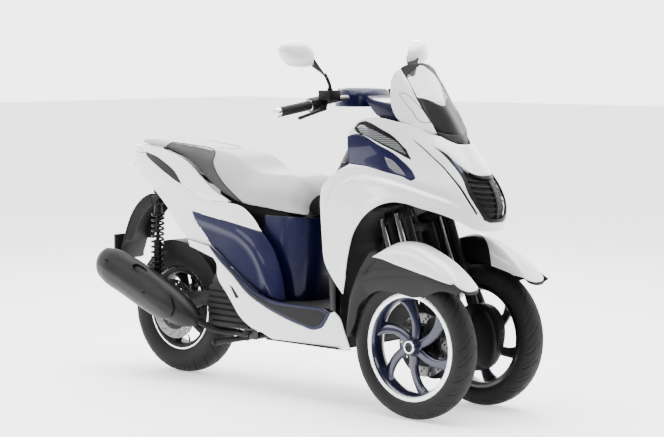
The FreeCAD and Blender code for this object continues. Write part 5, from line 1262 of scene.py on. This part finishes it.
for side, _, turn in SIDES:
    panel(f"screen_corner_{side}", screen_skin, turn(CORNER), [], 5.0, 0.6, 3.0, 0.6, *SATIN)
    panel(f"screen_wing_{side}", screen_skin, turn(WING), [], 7.0, 4.0, 9.0, 2.4, *WHITE, "screen_wings")
    lines = [patch("line", screen_skin, turn(ribbon(run, 2.0)), [], 3.0, 4.3, 1.0, 0.0) for run in WING_LINES]
    finish_piece(joined(f"wing_line_{side}", lines), *SATIN)
print("screen done")

# %% [markdown]
# ## Nose lattice
# Seven dark slats and a middle rib stand in front of a black back plate. A pale strip runs down each arm of the V.

# %% Nose lattice
panel("lattice_back", cowl, widened(GRILLE, 2.0), [], 10.0, -13.0, 1.5, 0.0, *GRAINY, "nose_grille")
slats = []
for height in np.arange(700.0, 830.0, 19.0):
    reach = float(np.interp(height, [683, 738, 776, 826], [44, 72, 84, 88])) - 7.0
    line = [(reach * share, height + rise) for share, rise in ((-1, 5), (-0.5, 1), (0, 0), (0.5, 1), (1, 5))]
    slats.append(patch("slat", cowl, ribbon(line, 6.0), [], 5.0, -8.0, 5.0, 1.2))
slats.append(patch("rib", cowl, ribbon([(0, 684), (0, 817)], 9.0), [], 5.0, -6.0, 6.0, 1.2))
finish_piece(joined("lattice_slats", slats), *GRAINY)
ARM_STRIP = outline_of("106,880 104,857 | 98,836 | 89,843 92,860 | 102,882", 4.0)
for side, _, turn in SIDES:
    panel(f"arm_strip_{side}", cowl, turn(ARM_STRIP), [], 4.0, 0.2, 1.5, 0.4, "body", "lamp_lens", arm_silver)
print("nose lattice done")

# %% [markdown]
# ## Mirrors
# Each shell is a rounded dome behind a flat glass, pulled into a point at its outer end. A black wedge leads from
# it to a bent stem in a rubber boot.

# %% Mirrors
MIRROR_SHAPE = smooth_line(points_of("69,17 59,36 30,49 -4,50 -40,38 -60,16 -66,-8 -58,-36 -34,-43 6,-42 38,-31 60,-7 "
                                     "69,17"), 7.0)[:-1]
SHELL_STEPS = points_of("0.93,-9 0.985,-9 1,-7 1,0 0.985,8 0.945,16 0.87,24 0.76,31 0.6,37 0.4,41 0.2,43 0.05,43.6")
GLASS_STEPS = points_of("0.90,-8.6 0.92,-9.6 0.90,-10.2")
BOOT_RADII = [11.5, 12, 12, 11.5, 10.5, 9.5, 8.0]
YAW = math.radians(20)
UP = np.array([0.0, 0.0, 1.0])
for side, sign, _ in SIDES:
    outboard = np.array([-math.sin(YAW), sign * math.cos(YAW), 0.0])
    ahead = np.array([math.cos(YAW), sign * math.sin(YAW), 0.0])
    middle = np.array([-424.0, sign * 320.0, 1234.0])
    for name, steps in (("shell", SHELL_STEPS), ("glass", GLASS_STEPS)):
        piece = lofted(f"mirror_{name}_{side}", [
            [middle + outboard * (w * size - (1 - size) * 6) + ahead * depth + UP * (v * size) for w, v in MIRROR_SHAPE]
            for size, depth in steps])
        if name == "shell":
            shaded(piece, 50.0, "handlebar", "mirror_white", white_paint, "mirror_shells")
        else:
            finish_piece(piece, "handlebar", "mirror_glass", mirror_silver, "mirror_glasses")
    wedge = []
    for share in np.linspace(0.0, 1.0, 9):
        centre = middle + outboard * (-50 - 48 * share) + ahead * (6 + 18 * share) + UP * (-14 - 58 * share)
        tall, deep, lean = 27 - 16 * share, 24 - 13 * share, 0.25 + 0.55 * share
        across = outboard * math.sin(lean) + UP * math.cos(lean)
        wedge.append([centre + across * math.sin(t) * tall + ahead * math.cos(t) * deep for t in turns_of(28)])
    rounded(lofted(f"mirror_wedge_{side}", wedge), 2.0, 3, 50, 45.0, "handlebar", "black_plastic", satin_plastic)
    foot = np.array([-386.0, sign * 197.0, 1094.0])
    end = np.mean(np.array(wedge[-1]), axis=0) + UP * 4
    stem = [pipe("stem", smooth_line([foot, foot + (6, sign * 1, 30), foot + (4, sign * 8, 50), end], 5.0), 6.0),
            pipe("boot", smooth_line([foot + (-1, 0, -12), foot + (8, sign * 1, 26)], 6.0), BOOT_RADII, 18)]
    shaded(joined(f"mirror_stem_{side}", stem), 45.0, "handlebar", "frame_paint", satin_plastic, "mirror_stems")
print("mirrors done")

# %% [markdown]
# ## Seat
# The seat is foam under stretched vinyl. Its form is lofted a little slim, remeshed, and blown up by a cloth
# simulation, so that it bulges between its edges as a filled cover does. The charcoal side pads, the black front
# and the piping are cut from and laid on that same surface.

# %% Seat cover
seat_table = np.array([
    (-1492, 884, 901, 62, 46), (-1400, 882, 903, 88, 68), (-1330, 880, 898, 104, 82), (-1175, 838, 886, 124, 94),
    (-1084, 782, 877, 135, 102), (-1015, 738, 871, 142, 108), (-926, 701, 850, 147, 110), (-854, 686, 808, 149, 106),
    (-757, 677, 796, 147, 104), (-671, 667, 794, 139, 98), (-610, 661, 776, 124, 82), (-572, 657, 730, 96, 58),
    (-557, 656, 692, 70, 42)], float)


def seat_ring(x):
    """Cross outline of the seat at one station, from the right lower edge over the top to the left."""
    low, top, wide, narrow = (smooth_through(seat_table[:, 0], seat_table[:, i], [x])[0] for i in (1, 2, 3, 4))
    rise = top - low
    half = [(wide - 4, 0.0), (wide + 1, 0.10), (wide + 2, 0.26), (wide - 1, 0.45), ((wide + narrow) / 2 + 6, 0.66),
            (narrow + 3, 0.86), (narrow - 10, 0.955), (narrow * 0.55, 0.992), (0.0, 1.0)]
    right = [(-y, low + rise * share) for y, share in half]
    over = right + [(-y, z) for y, z in right[-2::-1]]
    line = smooth_line(over, 1.0)
    line = line[np.linspace(0, len(line) - 1, 61).astype(int)]
    under = np.linspace(line[-1], line[0], 14)[1:-1]
    return [(x, y, z) for y, z in np.concatenate([line, under])]


stations = np.concatenate([np.linspace(-1492, -1000, 42), np.linspace(-988, -557, 44)])
cover = lofted("seat_cover", [seat_ring(x) for x in stations])
with open_mesh(cover) as sheet:
    bmesh.ops.triangulate(sheet, faces=[face for face in sheet.faces if len(face.verts) > 4])
voxel = cover.modifiers.new("voxels", "REMESH")
voxel.mode, voxel.voxel_size = "VOXEL", 0.006
apply_all(cover)

# %% [markdown]
# The cloth pushes every point outwards. What it moves is kept, but held to a few millimetres, and to a quarter of
# that in height near the seat's foot.

# %% Fill the seat
MOST_SWELL, FOOT_HEIGHT = 0.005, 0.70


def places_of(mesh):
    """Positions of all points of a mesh."""
    flat = np.empty(len(mesh.vertices) * 3)
    mesh.vertices.foreach_get("co", flat)
    return flat.reshape(-1, 3)


start = places_of(cover.data)
cloth = cover.modifiers.new("fill", "CLOTH")
settings = cloth.settings
settings.quality, settings.use_pressure = 4, True
settings.uniform_pressure_force = 4.0
settings.tension_stiffness, settings.bending_stiffness = 30.0, 2.0
settings.effector_weights.gravity = 0.0
cloth.collision_settings.use_collision = False
for step in range(1, 16):
    bpy.context.scene.frame_set(step)
moved = places_of(cover.evaluated_get(bpy.context.evaluated_depsgraph_get()).data) - start
cover.modifiers.remove(cloth)
bpy.context.scene.frame_set(1)
moved = unit(moved) * np.minimum(np.linalg.norm(moved, axis=1, keepdims=True), MOST_SWELL)
moved[:, 2] *= np.where(start[:, 2] < FOOT_HEIGHT, 0.25, 1.0)
cover.data.vertices.foreach_set("co", (start + moved).ravel())
cover.data.update()
print("seat swollen by", round(float(np.linalg.norm(moved, axis=1).max()) * 1000, 1), "mm")
soften = cover.modifiers.new("soften", "SMOOTH")
soften.factor, soften.iterations = 0.5, 4
fine = cover.modifiers.new("fine", "SUBSURF")
fine.levels = fine.render_levels = 1
apply_all(cover)

# %% [markdown]
# The cover is split by side-view outlines: the black front first, then the charcoal pads where the cover is wide.

# %% Split the cover
PAD_HALF = 86.0
PAD_SIDE = outline_of(
    "-1319,869 -1306,886 | -1292,899 -1180,890 | -1076,877 -1054,870 | -1040,856 -1030,832 -1014,812 -962,763 | "
    "-852,684 | -854,640 | -1330,640", 8.0)
FRONT_SIDE = outline_of("-574,640 -574,690 -570,735 -560,775 | -556,830 | -480,830 | -480,640", 8.0)
centres = np.array([face.center for face in cover.data.polygons]) / MM
seen = np.column_stack([centres[:, 0] - FRONT_AXLE, centres[:, 2]])
pad = within(seen, PAD_SIDE) & (np.abs(centres[:, 1]) > PAD_HALF)
zones = np.where(within(seen, FRONT_SIDE), 2, np.where(pad, 1, 0))
for number, (name, slot, finish, *nodes) in enumerate((("seat_top", "seat_vinyl", seat_vinyl, "seat_cushion"),
                                                       ("seat_side_pads", "pad_vinyl", pad_vinyl, "seat_pads"),
                                                       ("seat_front", "pad_vinyl", black_vinyl))):
    piece = placed(name, cover.data.copy())
    with open_mesh(piece) as sheet:
        for face in sheet.faces:
            face.smooth = True
        bmesh.ops.delete(sheet, geom=[face for face in sheet.faces if zones[face.index] != number], context="FACES")
    finish_piece(piece, "seat", slot, finish, *nodes)
    print(name, len(piece.data.polygons), "faces")

# %% [markdown]
# Piping and the small blue insert lie on the cover, so their points are found with rays that meet it.

# %% Piping and insert
tree = BVHTree.FromPolygons([vert.co.copy() for vert in cover.data.vertices],
                            [tuple(face.vertices) for face in cover.data.polygons])
bpy.data.objects.remove(cover)


def on_cover(start, way):
    """Point of the cover that a ray meets."""
    hit = tree.ray_cast(real(*start), Vector(way))[0]
    return None if hit is None else np.array(hit) / MM - (FRONT_AXLE, 0, 0)


piping = []
for sign in (-1, 1):
    for text, radius in (
            ("-1319,872 -1306,887 -1293,897", 2.0),
            ("-1293,897 -1180,889 -1076,876 -1054,869 -1040,856 -1030,832 -1014,812 -962,763 -868,695", 2.2),
            ("-574,668 -574,690 -570,735 -563,766", 2.0)):
        run = [on_cover((x, sign * 400.0, z), (0.0, -float(sign), 0.0)) for x, z in smooth_line(points_of(text), 5.0)]
        run = [point for point in run if point is not None and abs(point[1]) > 40]
        if len(run) > 3:
            piping.append(pipe("piping", run, radius, 8))
shaded(joined("seat_piping", piping), 60.0, "seat", "pad_vinyl", black_vinyl)
grid = [on_cover((x, y, 1000.0), (0.0, 0.0, -1.0)) + (0, 0, 1.6)
        for x in np.linspace(-1100, -1036, 9) for y in np.linspace(-34, 34, 7)]
insert = mesh_piece("seat_insert", grid, strips(9, 7, False, False))
wall_inwards(insert, 0.006)
rounded(insert, 1.5, 3, 40, 40.0, "seat", "blue_paint", blue_paint)
print("seat done")

# %% [markdown]
# ## Muffler
# The silencer is an oval can under a heat guard with a crease, two screws and an oval opening. The guard is a patch
# of a surface that is wrapped around the can.

# %% Muffler and heat guard
MUFFLER_STATIONS = np.array([(-1064, 238, 20, 20), (-1090, 247, 37, 32), (-1118, 256, 50, 40), (-1200, 288, 67, 50),
                             (-1330, 338, 74, 52), (-1450, 384, 72, 52), (-1540, 414, 66, 48), (-1580, 426, 54, 38),
                             (-1596, 431, 40, 28), (-1602, 433, 30, 20)], float)
MUFFLER_Y = -178.0
RUN = unit((-536.0, 0.0, 194.0))
RISE = np.cross((0.0, 1.0, 0.0), RUN)
MUFFLER = (BODY_OF["muffler"], "muffler_metal")
muffler_s = (MUFFLER_STATIONS[:, :2] - MUFFLER_STATIONS[0, :2]) @ RUN[[0, 2]]


class CanSkin:
    """Surface around the silencer: flat points are (arc from the outer side, length along it)."""

    ARC = 62.0

    def centre(self, s):
        x, z = (smooth_through(muffler_s, MUFFLER_STATIONS[:, i], s) for i in (0, 1))
        return np.column_stack([x, np.full(len(x), MUFFLER_Y), z])

    def points(self, flat):
        flat = np.asarray(flat, float)
        s = np.clip(flat[:, 1], muffler_s[0], muffler_s[-1])
        tall, wide = (smooth_through(muffler_s, MUFFLER_STATIONS[:, i], s) for i in (2, 3))
        turn = flat[:, 0] / self.ARC
        beyond = (flat[:, 1] - s).reshape(-1, 1)
        return (self.centre(s) + RISE * (tall * np.sin(turn)).reshape(-1, 1) + RUN * beyond
                - np.array([0.0, 1.0, 0.0]) * (wide * np.cos(turn)).reshape(-1, 1))

    def outward(self, position):
        s = (position - (MUFFLER_STATIONS[0, 0], 0, MUFFLER_STATIONS[0, 1])) @ RUN
        return position - self.centre(np.clip(s, muffler_s[0], muffler_s[-1]))


can = CanSkin()
lengths = np.concatenate([np.linspace(0, muffler_s[-3], 26), np.linspace(muffler_s[-3] + 5, muffler_s[-1], 7)])
rings = [can.points(np.column_stack([turns_of(56) * can.ARC, np.full(56, s)])) for s in lengths]
shaded(lofted("muffler_can", rings), 40.0, *MUFFLER, muffler_black, "muffler")
GUARD_RING = outline_of(
    "-66,505 -72,420 -74,300 -66,200 -46,130 | -20,96 14,92 40,120 64,190 80,290 86,400 84,480 | 74,540 30,562 "
    "-10,564 -46,545", 8.0)
OPENING = outline_of("52,290 61,283 69,296 72,330 67,356 58,364 48,352 45,318")
GUARD_CREASE = smooth_line(points_of("14,100 8,220 2,360 -4,540"), 8.0)


def guard_relief(flat):
    """Guard stands off the can, with a soft crease along its middle and a rim that turns in."""
    gap, _ = distance_to(GUARD_CREASE, flat)
    ends = np.clip((560.0 - flat[:, 1]) / 60.0, 0.0, 1.0) * np.clip((flat[:, 1] - 90.0) / 60.0, 0.0, 1.0)
    return 5.0 + 5.0 * np.sqrt(ends) + 2.5 * np.exp(-(gap / 9.0) ** 2) * ends


panel("heat_guard", can, GUARD_RING, [OPENING], 9.0, guard_relief, 2.0, 0.8, *MUFFLER, muffler_black)
bolts = []
for arc, s in ((24.0, 492.0), (4.0, 252.0)):
    spot = can.points([[arc, s]])[0]
    out = unit(can.outward(np.array([spot]))[0])
    bolts.append(dome_bolt(spot + out * 10.5, out, 9.0, 5.0))
shaded(joined("guard_screws", bolts), 35.0, *MUFFLER, satin_plastic)
header = smooth_line([(-1085, -178, 246), (-1030, -140, 210), (-930, -98, 198), (-890, -98, 200),
                      (-882, -98, 226)], 8.0)
shaded(pipe("exhaust_header", header, 13.0, 18), 50.0, *MUFFLER, muffler_black)
print("muffler done")

# %% [markdown]
# ## Rear springs
# Each rear shock absorber is a stepped post between two eyes, with a spring wound from wire around it.

# %% Rear springs
LOW_EYE, HIGH_EYE = np.array([-1372.0, 0.0, 318.0]), np.array([-1362.0, 0.0, 664.0])
WINDINGS, COIL_RADIUS, WIRE_RADIUS = 11.5, 22.5, 4.3
SEAT_BELOW, SEAT_ABOVE = 62.0, 48.0
SHOCK = (BODY_OF["rear_shocks"], "shock_black")
for side, sign, _ in SIDES:
    low, high = LOW_EYE + (0, sign * 100, 0), HIGH_EYE + (0, sign * 100, 0)
    span = np.linalg.norm(high - low)
    run = (high - low) / span
    across = np.array([0.0, 1.0, 0.0])
    other = np.cross(run, across)
    coil = []
    for share in np.linspace(0.0, 1.0, int(WINDINGS * 22)):
        turn = 2 * math.pi * WINDINGS * share
        coil.append(low + run * (SEAT_BELOW + share * (span - SEAT_BELOW - SEAT_ABOVE))
                    + (across * math.cos(turn) + other * math.sin(turn)) * COIL_RADIUS)
    shaded(pipe(f"spring_wire_{side}", coil, WIRE_RADIUS, 10), 60.0, *SHOCK, satin_plastic, "rear_shocks")
    marks = points_of("0,13 28,13 29,17 56,17 57,27 63,27 64,15 200,15 201,7")
    marks += [(span - h, r) for h, r in points_of("50,7 49,27 43,27 42,16 16,16 15,10 4,10")]
    post = [pipe("post", [low + run * h for h, _ in marks], [r for _, r in marks], 24)]
    for spot in (low, high):
        post += [pipe("eye", [spot + (0, -12, 0), spot + (0, 12, 0)], 15.0, 24),
                 dome_bolt(spot + (0, sign * 11, 0), (0, sign, 0), 9.0, 6.0)]
    shaded(joined(f"damper_{side}", post), 35.0, *SHOCK, frame_paint)
print("springs done")

# %% [markdown]
# ## Fork parts
# Two bright tubes stand on each fork leg, and a domed black cover closes its inner side.

# %% Fork tubes and covers
RAKE = math.radians(20)
TUBE_AXIS = np.array([-0.34202, 0.0, 0.93969])
DOME_STEPS = points_of("0,1 0.35,0.985 0.65,0.93 0.86,0.82 0.97,0.62 1,0.3 1,0.02")
for side, sign, _ in SIDES:
    leg = BODY_OF[f"fork_leg_{side}"]
    for place, offset in (("rear", -36.0), ("front", 36.0)):
        base = np.array([68 - 430.0 * math.tan(RAKE), sign * 114.0, 430.0])
        base = base + np.array([math.cos(RAKE), 0.0, math.sin(RAKE)]) * offset
        path = [base + TUBE_AXIS * t for t in (4.0, 40.0, 120.0, 200.0, 262.0)]
        shaded(pipe(f"stanchion_{side}_{place}", path, 16.5, 28), 50.0, leg, "fork_metal", fork_chrome)
    rings = [[(70 + 60 * reach * math.cos(t) - 10 * math.sin(t) * reach, sign * 98.0 - sign * 13.0 * share,
               252 + 104 * reach * math.sin(t)) for t in turns_of(40)] for share, reach in DOME_STEPS]
    shaded(lofted(f"fork_cover_{side}", rings), 60.0, leg, "black_plastic", satin_plastic)
print("fork parts done")

# %% [markdown]
# ## Grip ends
# A turned weight closes each end of the bar, and a bright ring closes the inner end of the grip.

# %% Grip ends
BAR_LAST = unit((-33.0, 140.0, -25.0))
WEIGHT = points_of("-14,14 -13,16.5 -4,16.5 -3,14.5 0,14.5 1,17 14,17 17.5,15 18.5,11 19,0.3")
COLLAR = points_of("152,17.5 151,19.5 139,19.5 138,17.5")
for side, sign, _ in SIDES:
    run = BAR_LAST * (1, sign, 1)
    tip = np.array([-437.0, sign * 210.0, 1063.0]) + run * ((367.5 - 210.0) / abs(run[1]))
    ends = [pipe("bar_end", [tip - run * (13.5 - d) for d, _ in WEIGHT], [r for _, r in WEIGHT], 32),
            pipe("collar", [tip - run * d for d, _ in COLLAR], [r for _, r in COLLAR], 32)]
    shaded(joined(f"grip_metal_{side}", ends), 35.0, "handlebar", "chrome_bar", bright_lip)
print("grip ends done")

# %% [markdown]
# ## Solids that keep their own shape
# Many hard parts are already right as solids. A copy of each is welded, its edges get a small round that catches
# the light as a moulded edge does, and the flat facets of its curves are blended.

# %% Rounded copies of the solids
COPIES = {
    "inner_shield": (satin_plastic, 2.0), "dash_panel": (black_plastic, 1.2), "meter_panel": (blue_paint, 4.0),
    "wheel_house": (black_plastic, 1.2), "frame": (frame_paint, 1.0), "link_arms": (frame_paint, 2.5),
    "fork_leg_right": (cast_black, 2.5), "fork_leg_left": (cast_black, 2.5), "caliper_right": (cast_black, 4.0),
    "caliper_left": (cast_black, 4.0), "tail_lamp": (tail_red, 1.2), "grab_rail": (white_paint, 1.2),
    "seat_pedestal": (blue_paint, 1.2), "floor_board": (black_plastic, 1.2), "belly_pan": (black_plastic, 1.0),
    "storage_box": (black_plastic, 1.0), "seat_pan": (black_plastic, 1.0), "engine": (cast_grey, 4.0),
    "fan_shroud": (black_plastic, 3.0), "hugger": (black_plastic, 1.2), "rear_fender": (black_plastic, 1.2),
    "centre_stand": (frame_paint, 1.0), "handlebar": (bar_steel, 0.8), "grips": (grip_rubber, 1.0),
    "steering_stem": (frame_paint, 1.2), "controls": (satin_plastic, 2.0), "bar_cover": (blue_paint, 3.0),
}
for node, (finish, width) in COPIES.items():
    piece = placed(node + "_skin", frame["nodes"][node].data.copy())
    with open_mesh(piece) as sheet:
        bmesh.ops.remove_doubles(sheet, verts=sheet.verts, dist=0.00002)
        bmesh.ops.dissolve_limit(sheet, angle_limit=math.radians(1.0), verts=sheet.verts, edges=sheet.edges)
    rounded(piece, width, 2, 35.0, 38.0, BODY_OF[node], SLOT_OF[node], finish, node)
print("rounded copies", len(COPIES))
